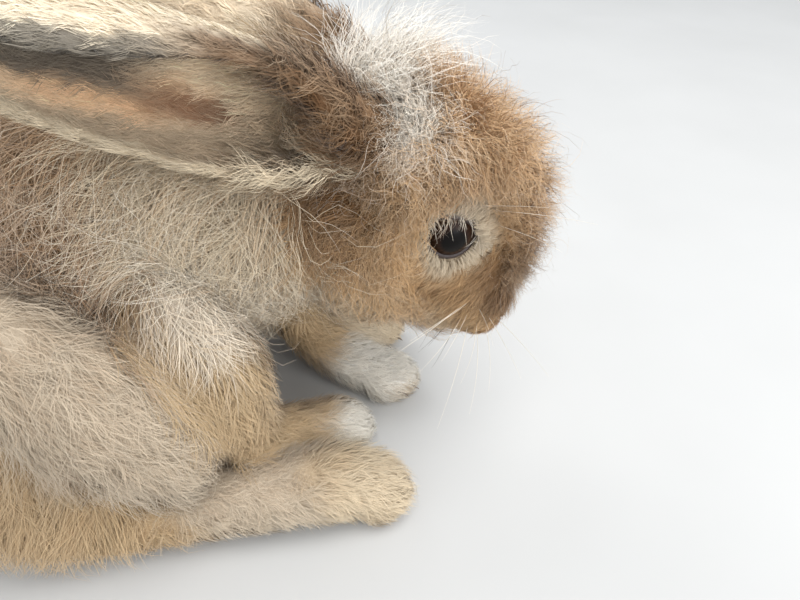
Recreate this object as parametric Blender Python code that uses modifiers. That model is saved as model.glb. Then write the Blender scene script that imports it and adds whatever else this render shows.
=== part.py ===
"""A crouching angora rabbit with its head bowed, as a still, life-size model.

The rabbit faces +X, its left side is +Y and the floor is Z = 0. The forms are drawn in
millimetres, from the point between the eyes along X, and are set in metres at the end, where
the whole rabbit is moved so that the middle of its footprint is the origin.
"""
import math
import random

import bmesh
import bpy
from mathutils import Matrix, Quaternion, Vector
from mathutils.bvhtree import BVHTree

MILLIMETRE = 0.001
GAP = 0.35
SMALLEST_EDGE = 0.004
# The exact solver loses whole faces on these soft, uneven forms
SOLVER = "MANIFOLD"
ANIMAL = "angora_rabbit"
PLAIN = "_plain"

# Head: its own frame has its origin between the eyes and X towards the nose
EYE_HEIGHT = 105.0
HEAD_PITCH = math.radians(47.0)
EYE_RADIUS = 9.6
EYE_DEPTH = 13.2
EYE_GAZE = Vector((0.15, 1.0, 0.12)).normalized()
LID_THICKNESS = 1.5
LID_LENGTH = 18.5
LID_HEIGHT = 12.5
LID_TILT = math.radians(23.0)

# Coat depth over each form, to the tips of the wool
CROWN_EDGE = 2.0
TORSO_COAT = 18.0
BELLY_COAT = 13.0
NECK_COAT = 14.0
THROAT_COAT = 17.0
THIGH_COAT = 12.0
FOOT_COAT = 4.0
SHOULDER_COAT = 9.0
TAIL_COAT = 14.0
# The felted core under the locks: all of the short fur, and this share of what is deeper
SHORT_FUR = 3.0
CORE_SHARE = 0.25

# Locks: sections from root to tip, as shares of length, width, thickness and rise
LOCK_SECTIONS = (
    (0.0, 0.6, 1.0, -0.5),
    (0.18, 0.95, 1.0, 0.3),
    (0.62, 0.95, 0.9, 0.75),
)
LOCK_TIP = (1.0, 0.0, 0.0, 1.0)
# Shares of length and rise that a lock is tried with until it is clear of the other forms
LOCK_TRIES = ((1.0, 1.0), (1.0, 1.35), (0.8, 1.0), (0.8, 1.4), (0.6, 1.0), (0.6, 1.4), (0.45, 1.0))
LOCK_SWING = 0.35
# How much a lock keeps its heading against the lie of the coat that it comes to
LOCK_STIFFNESS = 1.6
LOCK_CURL = 0.5
LOCK_CLEARANCE = 0.9
FLOOR_CLEARANCE = 2.0
EYE_CLEARING = 17.0
SPOTS_TRIED = 16.0
# Locks that touch along an edge leave a form open, and it is then grown again from new spots
MOST_ATTEMPTS = 5
SHORTEST_RISE = 2.8
WHORL = Vector((-24.0, 0.0, 40.0))

# Stations of the skin, back to front: X, half width, top and bottom
TORSO_STATIONS = (
    (-305.0, 9.0, 88.0, 60.0),
    (-298.0, 25.0, 108.0, 40.0),
    (-280.0, 42.0, 137.0, 22.0),
    (-255.0, 53.0, 160.0, 8.0),
    (-225.0, 57.0, 174.0, 2.0),
    (-190.0, 53.0, 174.0, 8.0),
    (-155.0, 46.0, 163.0, 20.0),
    (-125.0, 40.0, 151.0, 32.0),
    (-100.0, 34.0, 140.0, 44.0),
    (-80.0, 22.0, 124.0, 62.0),
)
# Head stations in the head's own frame: X, half width, top and bottom of the skin, then the
# depth of the wool on the crown, on the cheek and under the jaw
HEAD_STATIONS = (
    (-50.0, 12.0, -2.0, -16.0, 14.0, 9.0, 9.0),
    (-46.0, 17.0, 4.0, -22.0, 17.0, 11.0, 12.0),
    (-37.0, 22.0, 12.0, -30.0, 21.0, 13.0, 18.0),
    (-25.0, 24.5, 16.5, -34.5, 24.0, 13.0, 22.0),
    (-12.0, 24.5, 17.0, -35.5, 27.0, 9.0, 22.0),
    (0.0, 22.5, 15.5, -35.0, 28.0, 4.0, 20.0),
    (11.0, 20.5, 12.5, -33.5, 27.0, 3.5, 16.0),
    (22.0, 18.0, 8.5, -31.5, 24.0, 3.5, 11.0),
    (32.0, 16.5, 3.5, -29.5, 17.0, 3.0, 5.0),
    (40.0, 15.0, -2.0, -27.0, 7.0, 3.0, 3.0),
    (46.0, 11.5, -6.5, -23.5, 2.5, 2.0, 2.5),
    (49.5, 7.0, -10.5, -19.5, 1.0, 1.0, 1.0),
)
# Whisker pads, chin, nose, brows and cheeks: centre and half sizes in the head's own frame
HEAD_PADS = (
    ((38.0, 10.0, -18.0), (11.0, 8.5, 8.5)),
    ((29.0, 4.0, -28.5), (10.0, 7.5, 7.0)),
    ((48.0, 1.5, -12.0), (3.5, 4.2, 4.2)),
    ((1.0, 17.5, 8.5), (12.0, 5.5, 5.0)),
    ((-6.0, 18.5, -17.0), (17.0, 10.0, 16.0)),
)

# Coats of locks: spacing, length, width, thickness and seed
CROWN_LOCKS = (12.0, 26.0, 17.0, 4.5, 3)
CHEEK_LOCKS = (19.0, 28.0, 17.0, 2.6, 5)
NECK_LOCKS = (23.0, 48.0, 23.0, 2.8, 8)
TORSO_LOCKS = (30.5, 68.0, 31.0, 3.6, 12)
THIGH_LOCKS = (27.0, 50.0, 25.0, 3.0, 13)
FORELEG_LOCKS = (20.0, 34.0, 18.0, 2.6, 17)
TAIL_LOCKS = (16.0, 30.0, 17.0, 3.0, 19)

# Ears
EAR_BASE = Vector((-41.0, 17.0, 5.0))
EAR_DIRECTION = Vector((-0.86, 0.36, 0.36)).normalized()
EAR_OPENING = Vector((0.18, 0.90, -0.50))
EAR_WALL = 2.6
EAR_BULB_MIDDLE = 8.0
EAR_BULB_HALF = (20.0, 13.0, 13.0)
# Stations from the base to the tip: distance, radius and half angle of the wall
EAR_STATIONS = (
    (14.0, 13.5, 172.0),
    (26.0, 15.0, 160.0),
    (38.0, 16.5, 135.0),
    (54.0, 17.5, 120.0),
    (72.0, 17.5, 110.0),
    (90.0, 15.0, 102.0),
    (103.0, 11.0, 96.0),
    (111.0, 7.0, 92.0),
    (115.0, 3.5, 90.0),
)

# Neck from the shoulders to the back of the skull: centre, half width, up and down
NECK_STATIONS = (
    ((-102.0, 0.0, 104.0), 28.0, 34.0, 34.0),
    ((-86.0, 0.0, 105.0), 28.0, 32.0, 37.0),
    ((-70.0, 0.0, 107.0), 26.0, 29.0, 36.0),
    ((-54.0, 0.0, 111.0), 24.0, 25.0, 34.0),
    ((-38.0, 0.0, 114.0), 22.0, 20.0, 30.0),
)

# Left legs, from the top down: centre, half width, half depth and depth of the coat
FRONT_LEG = (
    ((-94.0, 36.0, 103.0), 4.0, 5.0, SHOULDER_COAT),
    ((-92.0, 37.0, 95.0), 9.0, 12.0, SHOULDER_COAT),
    ((-86.0, 38.5, 80.0), 12.0, 16.0, SHOULDER_COAT),
    ((-77.0, 39.0, 62.0), 11.5, 13.5, 7.0),
    ((-69.0, 37.0, 44.0), 10.0, 11.0, 6.0),
    ((-60.0, 32.0, 27.0), 9.0, 9.0, 5.0),
    ((-49.0, 26.0, 16.0), 9.0, 8.5, FOOT_COAT),
    ((-37.0, 20.0, 10.5), 10.0, 8.0, FOOT_COAT),
    ((-25.0, 15.5, 8.5), 9.5, 7.0, FOOT_COAT),
    ((-17.0, 12.5, 7.5), 7.0, 5.5, FOOT_COAT),
)
# The right paw is set back, and the leg leans back with it below this height
RIGHT_PAW_SET_BACK = 24.0
SET_BACK_BELOW = 62.0
THIGH_CENTRE = Vector((-163.0, 50.0, 68.0))
THIGH_HALF = Vector((62.0, 25.0, 52.0))
THIGH_TURN = math.radians(18.0)
KNEE_CENTRE = Vector((-114.0, 57.0, 73.0))
KNEE_HALF = Vector((21.0, 18.0, 50.0))
KNEE_TURN = math.radians(-33.5)
HOCK_CENTRE = Vector((-145.0, 57.0, 26.0))
HOCK_HALF = Vector((34.0, 17.0, 22.0))
HIND_FOOT = (
    ((-140.0, 61.0, 14.0), 11.0, 11.0, FOOT_COAT),
    ((-120.0, 59.0, 13.0), 12.0, 11.0, FOOT_COAT),
    ((-90.0, 55.0, 13.0), 12.0, 10.5, FOOT_COAT),
    ((-62.0, 51.0, 13.5), 13.0, 10.5, FOOT_COAT),
    ((-42.0, 47.5, 13.0), 14.0, 10.5, FOOT_COAT),
    ((-29.0, 45.5, 11.5), 12.0, 9.0, FOOT_COAT),
    ((-21.0, 44.5, 10.0), 8.0, 6.0, FOOT_COAT),
)
# Toes: where the middle of the row sits, the step from toe to toe and the half sizes of one
FRONT_TOES = (Vector((-16.0, 13.0, 6.2)), 5.4, Vector((8.5, 3.6, 6.6)))
HIND_TOES = (Vector((-23.0, 45.0, 7.5)), 6.4, Vector((10.0, 4.4, 7.5)))
TOE_COUNT = 4
TOE_HEADING = math.radians(-12.0)
CLAW_LENGTH = 8.0
CLAW_RADIUS = 1.5
CLAW_DROP = 3.2

TAIL_CENTRE = Vector((-318.0, 0.0, 78.0))
TAIL_HALF = Vector((14.0, 15.0, 20.0))
TAIL_TURN = math.radians(-24.0)

# How each form is blended: voxel size, rounds of smoothing and triangles kept
HEAD_BLEND = (1.6, 6, 900)
EAR_BLEND = (0.9, 2, 480)
NECK_BLEND = (3.0, 6, 220)
TORSO_BLEND = (4.0, 8, 320)
FRONT_LEG_BLEND = (1.8, 4, 360)
HIND_LEG_BLEND = (2.0, 6, 420)
TAIL_BLEND = (3.0, 4, 140)
BODY_BLEND = (2.2, 4, 12000)

# Colours in linear light
TAN = (0.56, 0.38, 0.22)
CREAM = (0.74, 0.64, 0.50)
WHITE = (0.83, 0.78, 0.70)
EYE_DARK = (0.012, 0.007, 0.005)


def clear_scene():
    for thing in list(bpy.data.objects):
        bpy.data.objects.remove(thing, do_unlink=True)


def new_collection(name):
    collection = bpy.data.collections.new(name)
    bpy.context.scene.collection.children.link(collection)
    return collection


def new_material(name, colour, roughness):
    material = bpy.data.materials.new(name)
    material.use_nodes = True
    shader = material.node_tree.nodes["Principled BSDF"]
    shader.inputs["Base Color"].default_value = (*colour, 1.0)
    shader.inputs["Roughness"].default_value = roughness
    shader.inputs["Metallic"].default_value = 0.0
    return material


def cut_to_triangles(bm):
    """Cut all faces into triangles, after dropping tiny edges and corners on straight ones."""
    bmesh.ops.remove_doubles(bm, verts=bm.verts, dist=SMALLEST_EDGE / 4.0)
    bmesh.ops.dissolve_degenerate(bm, dist=SMALLEST_EDGE, edges=bm.edges)
    idle = [vertex for vertex in bm.verts if len(vertex.link_edges) == 2]
    bmesh.ops.dissolve_verts(bm, verts=idle)
    piece = bm.faces.layers.int.get("piece") or bm.faces.layers.int.new("piece")
    for number, face in enumerate(bm.faces):
        face[piece] = number
    bmesh.ops.triangulate(bm, faces=bm.faces)
    for edge in [edge for edge in bm.edges if len(edge.link_faces) > 2]:
        faces = list(edge.link_faces)
        pairs = [(a, b) for a in faces for b in faces if a is not b and a[piece] == b[piece]]
        any(turn_diagonal(bm, edge, *pair) for pair in pairs)


def turn_diagonal(bm, edge, first, second):
    """Cut the flat face that two triangles make along its other diagonal."""
    loop = next(loop for loop in first.loops if loop.edge is edge)
    p = loop.vert
    q = loop.link_loop_next.vert
    r = loop.link_loop_next.link_loop_next.vert
    s = next(vertex for vertex in second.verts if vertex not in (p, q))
    normal = max(first, second, key=lambda face: face.calc_area()).normal.copy()
    turned = ((r, p, s), (s, q, r))
    sound = all((b.co - a.co).cross(c.co - a.co).dot(normal) > SMALLEST_EDGE ** 2
                for a, b, c in turned)
    if not sound or bm.edges.get((r, s)):
        return False
    bmesh.ops.delete(bm, geom=[first, second], context="FACES_ONLY")
    for corners in turned:
        bm.faces.new(corners).normal_update()
    return True


def mesh_object(name, bm, collection):
    """Make an object from a bmesh, with its faces pointing out."""
    bmesh.ops.recalc_face_normals(bm, faces=bm.faces)
    cut_to_triangles(bm)
    mesh = bpy.data.meshes.new(name)
    bm.to_mesh(mesh)
    bm.free()
    thing = bpy.data.objects.new(name, mesh)
    collection.objects.link(thing)
    return thing


def settle(thing):
    """Apply an object's modifiers to its mesh."""
    graph = bpy.context.evaluated_depsgraph_get()
    bm = bmesh.new()
    bm.from_mesh(thing.evaluated_get(graph).data)
    cut_to_triangles(bm)
    thing.modifiers.clear()
    bm.to_mesh(thing.data)
    bm.free()
    return thing


def between(stations, steps):
    """Rows of numbers on smooth curves through the stations' rows."""
    last = len(stations) - 1
    rows = []
    for i in range(last):
        before = stations[max(i - 1, 0)]
        start = stations[i]
        end = stations[i + 1]
        after = stations[min(i + 2, last)]
        for step in range(steps):
            t = step / steps
            rows.append(tuple(
                0.5 * (2.0 * b + (c - a) * t + (2.0 * a - 5.0 * b + 4.0 * c - d) * t * t
                       + (3.0 * b - a - 3.0 * c + d) * t ** 3)
                for a, b, c, d in zip(before, start, end, after)))
    rows.append(stations[last])
    return rows


def join_rings(bm, rings):
    """Skin a row of equal rings of points, and close both ends."""
    loops = [[bm.verts.new(point) for point in ring] for ring in rings]
    count = len(loops[0])
    for first, second in zip(loops, loops[1:]):
        for i in range(count):
            j = (i + 1) % count
            bm.faces.new((first[i], first[j], second[j], second[i]))
    bm.faces.new(loops[0])
    bm.faces.new(loops[-1])


def ring_points(centre, side, up, half_width, rise, drop, count=24):
    points = []
    for i in range(count):
        angle = math.tau * i / count
        height = rise if math.sin(angle) > 0.0 else drop
        points.append(centre + side * half_width * math.cos(angle) + up * height * math.sin(angle))
    return points


def tube_rings(path):
    """Rings square to a path of rows: X, Y, Z, half width, half depth."""
    rings = []
    for i, row in enumerate(path):
        centre = Vector(row[:3])
        ahead = Vector(path[min(i + 1, len(path) - 1)][:3])
        behind = Vector(path[max(i - 1, 0)][:3])
        along = (ahead - behind).normalized()
        side = along.cross(Vector((0.0, 0.0, 1.0)))
        if side.length < 0.3:
            side = Vector((0.0, 1.0, 0.0))
        side.normalize()
        up = side.cross(along).normalized()
        rings.append(ring_points(centre, side, up, row[3], row[4], row[4]))
    return rings


def add_ellipsoid(bm, centre, half, turn=0.0):
    """An ellipsoid, turned about Y."""
    place = (Matrix.Translation(centre) @ Matrix.Rotation(turn, 4, "Y")
             @ Matrix.Diagonal((*half, 1.0)))
    bmesh.ops.create_uvsphere(bm, u_segments=24, v_segments=16, radius=1.0, matrix=place)


def blend_form(thing, voxel, rounds, triangles):
    """Run overlapping closed shapes together into one smooth skin of few triangles."""
    remesh = thing.modifiers.new("blend", "REMESH")
    remesh.mode = "VOXEL"
    remesh.voxel_size = voxel
    smooth = thing.modifiers.new("soften", "SMOOTH")
    smooth.factor = 0.5
    smooth.iterations = rounds
    settle(thing)
    return thin_out(thing, triangles)


def thin_out(thing, triangles):
    thing.data.calc_loop_triangles()
    ratio = triangles / len(thing.data.loop_triangles)
    if ratio < 1.0:
        thin = thing.modifiers.new("thin", "DECIMATE")
        thin.ratio = ratio
        thin.use_collapse_triangulate = True
        settle(thing)
    return thing


def spare_copy(thing, name):
    """A copy of a form among the cutters."""
    copy = thing.copy()
    copy.data = thing.data.copy()
    copy.name = name
    copy.hide_render = True
    copy.display_type = "WIRE"
    bpy.data.collections["cutters"].objects.link(copy)
    return copy


def keep_plain(thing):
    """Keep a form as it is before details and cuts, as the room it takes in its neighbours."""
    spare_copy(thing, thing.name + PLAIN)
    return thing


def swollen_copy(thing, by):
    """A copy that reaches further out all over, used as a cutter."""
    copy = spare_copy(thing, thing.name + "_room")
    swell = copy.modifiers.new("swell", "DISPLACE")
    swell.strength = by
    swell.mid_level = 0.0
    settle(copy)
    return copy


def combine(thing, other, operation):
    """Cut or join one mesh with another, which is then removed."""
    boolean = thing.modifiers.new("combine", "BOOLEAN")
    boolean.operation = operation
    boolean.solver = SOLVER
    boolean.object = other
    settle(thing)
    bpy.data.objects.remove(other, do_unlink=True)
    return thing


def carve(thing, cutter):
    return combine(thing, cutter, "DIFFERENCE")


def make_room(thing, *neighbours):
    """Cut a form back, so that it meets its neighbours face to face across the gap."""
    for neighbour in neighbours:
        carve(thing, swollen_copy(bpy.data.objects[neighbour.name + PLAIN], GAP))
    return keep_largest(thing)


def keep_largest(thing):
    """Keep the largest closed surface of a mesh."""
    bm = bmesh.new()
    bm.from_mesh(thing.data)
    left = set(bm.faces)
    islands = []
    while left:
        seed = left.pop()
        island = [seed]
        stack = [seed]
        while stack:
            face = stack.pop()
            for edge in face.edges:
                for other in edge.link_faces:
                    if other in left:
                        left.remove(other)
                        island.append(other)
                        stack.append(other)
        islands.append(island)
    islands.sort(key=lambda faces: sum(face.calc_area() for face in faces))
    scraps = [face for island in islands[:-1] for face in island]
    bmesh.ops.delete(bm, geom=scraps, context="FACES")
    bm.to_mesh(thing.data)
    bm.free()
    return thing


def floor_cut(thing):
    """Cut a foot or the rump flat where it rests on the floor."""
    bm = bmesh.new()
    size = 600.0
    bmesh.ops.create_cube(bm, size=size, matrix=Matrix.Translation((-150.0, 0.0, -size / 2.0)))
    cutter = mesh_object("floor_block", bm, bpy.data.collections["cutters"])
    return carve(thing, cutter)


def mirrored(side, point):
    """A point of the left side, or its mirror image."""
    return Vector((point[0], side * point[1], point[2]))


def head_place():
    """The head's own frame in the rabbit's."""
    return (Matrix.Translation((0.0, 0.0, EYE_HEIGHT)) @ Matrix.Rotation(HEAD_PITCH, 4, "Y"))


def core_depth(depth):
    """How far the felted core reaches under wool of a given depth."""
    return min(depth, SHORT_FUR) + CORE_SHARE * max(depth - SHORT_FUR, 0.0)


def lock_rise(depth):
    return depth - core_depth(depth)


def head_wool(crown, cheek, jaw, lean):
    """Depth of the head's wool where the skin leans up, out or down."""
    if lean > 0.0:
        return cheek + (crown - cheek) * lean ** CROWN_EDGE
    return cheek + (jaw - cheek) * -lean


def head_form(collection):
    """The whole head without ears, in the head's own frame."""
    bm = bmesh.new()
    rings = []
    for x, half_width, top, bottom, crown, cheek, jaw in between(HEAD_STATIONS, 3):
        middle = (top + bottom) / 2.0
        half_height = (top - bottom) / 2.0
        ring = []
        for i in range(32):
            angle = math.tau * i / 32
            lean = math.sin(angle)
            depth = core_depth(head_wool(crown, cheek, jaw, lean))
            ring.append(Vector((x, (half_width + depth) * math.cos(angle),
                                middle + (half_height + depth) * lean)))
        rings.append(ring)
    join_rings(bm, rings)
    for side in (1.0, -1.0):
        for centre, half in HEAD_PADS:
            add_ellipsoid(bm, mirrored(side, centre), half)
    head = blend_form(mesh_object("head", bm, collection), *HEAD_BLEND)
    spare_copy(head, head.name + PLAIN).data.transform(head_place())
    return head


def eye_centre(side):
    return Vector((0.0, side * EYE_DEPTH, 0.0))


def eye_turn(side):
    """A turn that takes X along the lids' slit and Z out along the gaze."""
    gaze = mirrored(side, EYE_GAZE)
    slit = Vector((math.cos(LID_TILT), 0.0, math.sin(LID_TILT)))
    slit = (slit - gaze * slit.dot(gaze)).normalized()
    across = gaze.cross(slit)
    return Matrix((slit, across, gaze)).transposed().to_4x4()


def eye_sphere(name, side, radius, collection, segments=14, rings=8):
    """A sphere about an eye's middle, in the head's own frame."""
    bm = bmesh.new()
    bmesh.ops.create_uvsphere(bm, u_segments=segments, v_segments=rings, radius=radius,
                              matrix=Matrix.Translation(eye_centre(side)) @ eye_turn(side))
    return mesh_object(name, bm, collection)


def slit_object(side, cutters):
    """The almond between the lids, as a long block along the gaze."""
    bm = bmesh.new()
    rings = []
    for depth in (4.0, 24.0):
        ring = []
        count = 16
        for i in range(count):
            angle = math.tau * i / count
            across = math.sin(angle)
            ring.append(Vector((LID_LENGTH / 2.0 * math.cos(angle),
                                LID_HEIGHT / 2.0 * across * abs(across) ** 0.25, depth)))
        rings.append(ring)
    join_rings(bm, rings)
    slit = mesh_object("lid_slit", bm, cutters)
    slit.data.transform(Matrix.Translation(eye_centre(side)) @ eye_turn(side))
    return slit


def unite(thing, other):
    return combine(thing, other, "UNION")


def add_lids(head, cutters):
    """Lids over each eyeball, with a slit between them and a socket behind."""
    for side in (1.0, -1.0):
        unite(head, eye_sphere("lid", side, EYE_RADIUS + GAP + LID_THICKNESS, cutters, 14, 9))
        carve(head, slit_object(side, cutters))
        carve(head, eye_sphere("socket", side, EYE_RADIUS + GAP, cutters))


def surface_of(thing):
    bm = bmesh.new()
    bm.from_mesh(thing.data)
    tree = BVHTree.FromBMesh(bm)
    bm.free()
    return tree


def groove(head, points, radius, cutters):
    """Sink a thin round groove into the head along a line laid on its surface."""
    surface = surface_of(head)
    path = []
    for row in points:
        spot = surface.find_nearest(Vector(row))[0]
        path.append((*spot, radius, radius))
    bm = bmesh.new()
    rings = []
    for i, row in enumerate(path):
        centre = Vector(row[:3])
        along = Vector(path[min(i + 1, len(path) - 1)][:3]) - Vector(path[max(i - 1, 0)][:3])
        along.normalize()
        side = along.orthogonal().normalized()
        rings.append(ring_points(centre, side, along.cross(side), radius, radius, radius, 4))
    join_rings(bm, rings)
    carve(head, mesh_object("groove", bm, cutters))


def add_muzzle_lines(head, cutters):
    """The cleft of the lip, the line of the mouth on each side and the nostrils."""
    groove(head, ((47.0, 0.0, -15.0), (47.0, 0.0, -19.0), (44.0, 0.0, -23.5)), 0.8, cutters)
    for side in (1.0, -1.0):
        mouth = ((45.0, 0.6, -24.0), (41.5, 6.0, -25.0), (34.0, 12.0, -26.5), (25.0, 14.5, -27.5))
        groove(head, [mirrored(side, point) for point in mouth], 0.9, cutters)
        bm = bmesh.new()
        place = (Matrix.Translation(mirrored(side, (47.0, 3.4, -12.5)))
                 @ Matrix.Rotation(side * math.radians(-35.0), 4, "X")
                 @ Matrix.Diagonal((3.5, 2.4, 0.9, 1.0)))
        bmesh.ops.create_uvsphere(bm, u_segments=8, v_segments=5, radius=1.0, matrix=place)
        carve(head, mesh_object("nostril", bm, cutters))


def random_spots(thing, count, rng):
    """Spots on a form with their normals, at random and even over its area."""
    triangles = []
    for face in thing.data.polygons:
        corners = [tuple(thing.data.vertices[i].co) for i in face.vertices]
        first = corners.index(min(corners))
        triangles.append((corners[first:] + corners[:first], face.area))
    triangles.sort(key=lambda row: [round(number, 2) for corner in row[0] for number in corner])
    areas = [area for corners, area in triangles]
    for corners, area in rng.choices(triangles, areas, k=int(count * sum(areas))):
        a, b, c = (Vector(corner) for corner in corners)
        u = rng.random()
        v = rng.random()
        if u + v > 1.0:
            u = 1.0 - u
            v = 1.0 - v
        yield a + (b - a) * u + (c - a) * v, (b - a).cross(c - a).normalized()


def lay_track(ground, spot, lie, length, swing, curl):
    """A track over the ground along the lie of the coat: spots with their normals."""
    steps = 12
    normal = ground.find_nearest(spot)[1]
    heading = Vector()
    track = []
    for step in range(steps + 1):
        track.append((spot, normal))
        ahead = Quaternion(normal, swing + curl * step / steps) @ lie(spot, normal)
        ahead = (ahead - normal * ahead.dot(normal)).normalized() + heading * LOCK_STIFFNESS
        ahead = (ahead - normal * ahead.dot(normal)).normalized()
        heading = ahead
        spot, facing = ground.find_nearest(spot + ahead * length / steps)[:2]
        normal = normal.lerp(facing, 0.35).normalized()
    return track


def lock_shape(track, rise, width, thickness):
    """Points and faces of a flat lock that lifts off its track to a soft tip."""
    points = []
    for along, wide, thick, lift in (*LOCK_SECTIONS, LOCK_TIP):
        place = along * (len(track) - 1)
        i = min(int(place), len(track) - 2)
        spot = track[i][0].lerp(track[i + 1][0], place - i)
        normal = track[i][1].lerp(track[i + 1][1], place - i).normalized()
        side = normal.cross(track[i + 1][0] - track[i][0]).normalized() * wide * width / 2.0
        base = spot + normal * (rise * lift - thick * thickness / 2.0)
        if wide == 0.0:
            points.append(spot + normal * rise * lift)
        else:
            points += [base + side, base + normal * thick * thickness, base - side]
    faces = [(0, 1, 2)]
    last = len(points) - 1
    for start in range(0, last - 3, 3):
        for i in range(3):
            j = (i + 1) % 3
            faces.append((start + i, start + 3 + i, start + 3 + j))
            faces.append((start + i, start + 3 + j, start + j))
    for i in range(3):
        faces.append((last - 3 + i, last, last - 3 + (i + 1) % 3))
    return points, faces


def is_clear(points, faces, neighbours):
    """Whether a lock stays off the floor, the eyes and the other forms."""
    if min(point.z for point in points) < FLOOR_CLEARANCE:
        return False
    for side in (1.0, -1.0):
        eye = head_place() @ eye_centre(side)
        if min((point - eye).length for point in points) < EYE_CLEARING:
            return False
    lock = BVHTree.FromPolygons(points, faces)
    for other in neighbours:
        if lock.overlap(other):
            return False
        for point in points:
            if other.find_nearest(point, LOCK_CLEARANCE)[0] is not None:
                return False
    return True


def add_coat(thing, ground, sizes, lie, rise_at, keep, others):
    """Grow overlapping locks on a form, clear of the other forms, and join them to it."""
    spacing, length, width, thickness, seed = sizes
    rng = random.Random(seed)
    neighbours = [surface_of(other) for other in others]
    locks = new_collection(thing.name + "_locks")
    locks.hide_render = True
    roots = []
    for spot, normal in random_spots(thing, SPOTS_TRIED / spacing ** 2, rng):
        if any((spot - root).length < spacing for root in roots) or not keep(spot, normal):
            continue
        size = rng.uniform(0.85, 1.15)
        swing = rng.uniform(-LOCK_SWING, LOCK_SWING)
        curl = rng.uniform(-LOCK_CURL, LOCK_CURL)
        for share, lift in LOCK_TRIES:
            track = lay_track(ground, spot, lie, length * size * share, swing, curl)
            rise = rise_at(*track[len(track) // 2]) * lift
            points, faces = lock_shape(track, rise, width * size, thickness)
            if is_clear(points, faces, neighbours):
                lock = mesh_from_points(thing.name + "_lock", points, faces, locks)
                lock.display_type = "WIRE"
                roots.append(spot)
                break
    return join_all(thing, locks)


def is_closed(thing):
    """Whether every edge of a form lies between just two faces."""
    bm = bmesh.new()
    bm.from_mesh(thing.data)
    closed = all(len(edge.link_faces) == 2 for edge in bm.edges)
    bm.free()
    return closed


def mesh_from_points(name, points, faces, collection):
    bm = bmesh.new()
    corners = [bm.verts.new(point) for point in points]
    for face in faces:
        bm.faces.new([corners[i] for i in face])
    return mesh_object(name, bm, collection)


def join_all(thing, collection):
    """Join every closed mesh of a collection to a form, and remove the collection."""
    union = thing.modifiers.new("join", "BOOLEAN")
    union.operation = "UNION"
    union.operand_type = "COLLECTION"
    union.solver = SOLVER
    union.collection = collection
    settle(thing)
    for part in list(collection.objects):
        bpy.data.objects.remove(part, do_unlink=True)
    bpy.data.collections.remove(collection)
    return keep_largest(thing)


def back_and_down(spot, normal):
    """Wool of the body: back along it, falling down its sides and behind it."""
    fall = 0.25 + 1.1 * abs(normal.y) + 0.9 * max(-normal.x, 0.0)
    return Vector((-1.0, 0.0, -fall))


def down_the_leg(spot, normal):
    return Vector((-0.45, 0.0, -1.0))


def up_the_tail(spot, normal):
    return Vector((-0.45, 0.25 * normal.y, 0.9))


def out_from_whorl(spot, normal):
    """Wool of the crown: every way out from one whorl between the ears."""
    return spot - head_place() @ WHORL


def back_from_nose(spot, normal):
    """Wool of the cheeks and jaw: back from the nose and hanging."""
    back = head_place().to_3x3() @ Vector((-1.0, 0.0, 0.0))
    return back + Vector((0.0, 0.0, -1.25))


def depth_on_head(spot, normal):
    """Depth of the head's wool at a spot on it."""
    inverse = head_place().inverted()
    x = (inverse @ spot).x
    lean = (inverse.to_3x3() @ normal).z
    row = min(between(HEAD_STATIONS, 3), key=lambda station: abs(station[0] - x))
    return head_wool(*row[4:7], lean)


def rise_on_head(spot, normal):
    return lock_rise(depth_on_head(spot, normal))


def on_crown(spot, normal):
    inverse = head_place().inverted()
    lean = (inverse.to_3x3() @ normal).z
    return lean > 0.15 and rise_on_head(spot, normal) > SHORTEST_RISE


def on_cheek(spot, normal):
    inverse = head_place().inverted()
    lean = (inverse.to_3x3() @ normal).z
    return lean <= 0.15 and rise_on_head(spot, normal) > SHORTEST_RISE


def make_head(collection, cutters):
    head = head_form(collection)
    add_lids(head, cutters)
    add_muzzle_lines(head, cutters)
    head.data.transform(head_place())
    return keep_largest(head)


def make_eyes(collection):
    eyes = []
    for name, side in (("eye_left", 1.0), ("eye_right", -1.0)):
        eye = eye_sphere(name, side, EYE_RADIUS, collection)
        eye.data.transform(head_place())
        eyes.append(eye)
    return eyes


def ear_frame(side):
    """The root of an ear, its direction, the way its cup opens and the way across."""
    root = head_place() @ mirrored(side, EAR_BASE)
    along = mirrored(side, EAR_DIRECTION)
    opening = mirrored(side, EAR_OPENING)
    opening = (opening - along * opening.dot(along)).normalized()
    return root, along, opening, along.cross(opening)


def make_ear(name, side, collection):
    """A cupped shell over a closed, furry base."""
    root, along, opening, across = ear_frame(side)
    columns = 16
    bm = bmesh.new()
    grid = []
    for distance, radius, half_angle in between(EAR_STATIONS, 2):
        row = []
        for i in range(columns + 1):
            angle = math.radians(half_angle) * (2.0 * i / columns - 1.0)
            reach = -opening * math.cos(angle) + across * math.sin(angle)
            row.append(bm.verts.new(root + along * distance + reach * radius))
        grid.append(row)
    for first, second in zip(grid, grid[1:]):
        for i in range(columns):
            bm.faces.new((first[i], first[i + 1], second[i + 1], second[i]))
    ear = mesh_object(name, bm, collection)
    wall = ear.modifiers.new("wall", "SOLIDIFY")
    wall.thickness = EAR_WALL
    wall.offset = 0.0
    settle(ear)
    bm = bmesh.new()
    bm.from_mesh(ear.data)
    turn = along.to_track_quat("X", "Z").to_matrix().to_4x4()
    place = (Matrix.Translation(root + along * EAR_BULB_MIDDLE) @ turn
             @ Matrix.Diagonal((*EAR_BULB_HALF, 1.0)))
    bmesh.ops.create_uvsphere(bm, u_segments=24, v_segments=16, radius=1.0, matrix=place)
    bm.to_mesh(ear.data)
    bm.free()
    return keep_plain(blend_form(ear, *EAR_BLEND))


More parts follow.
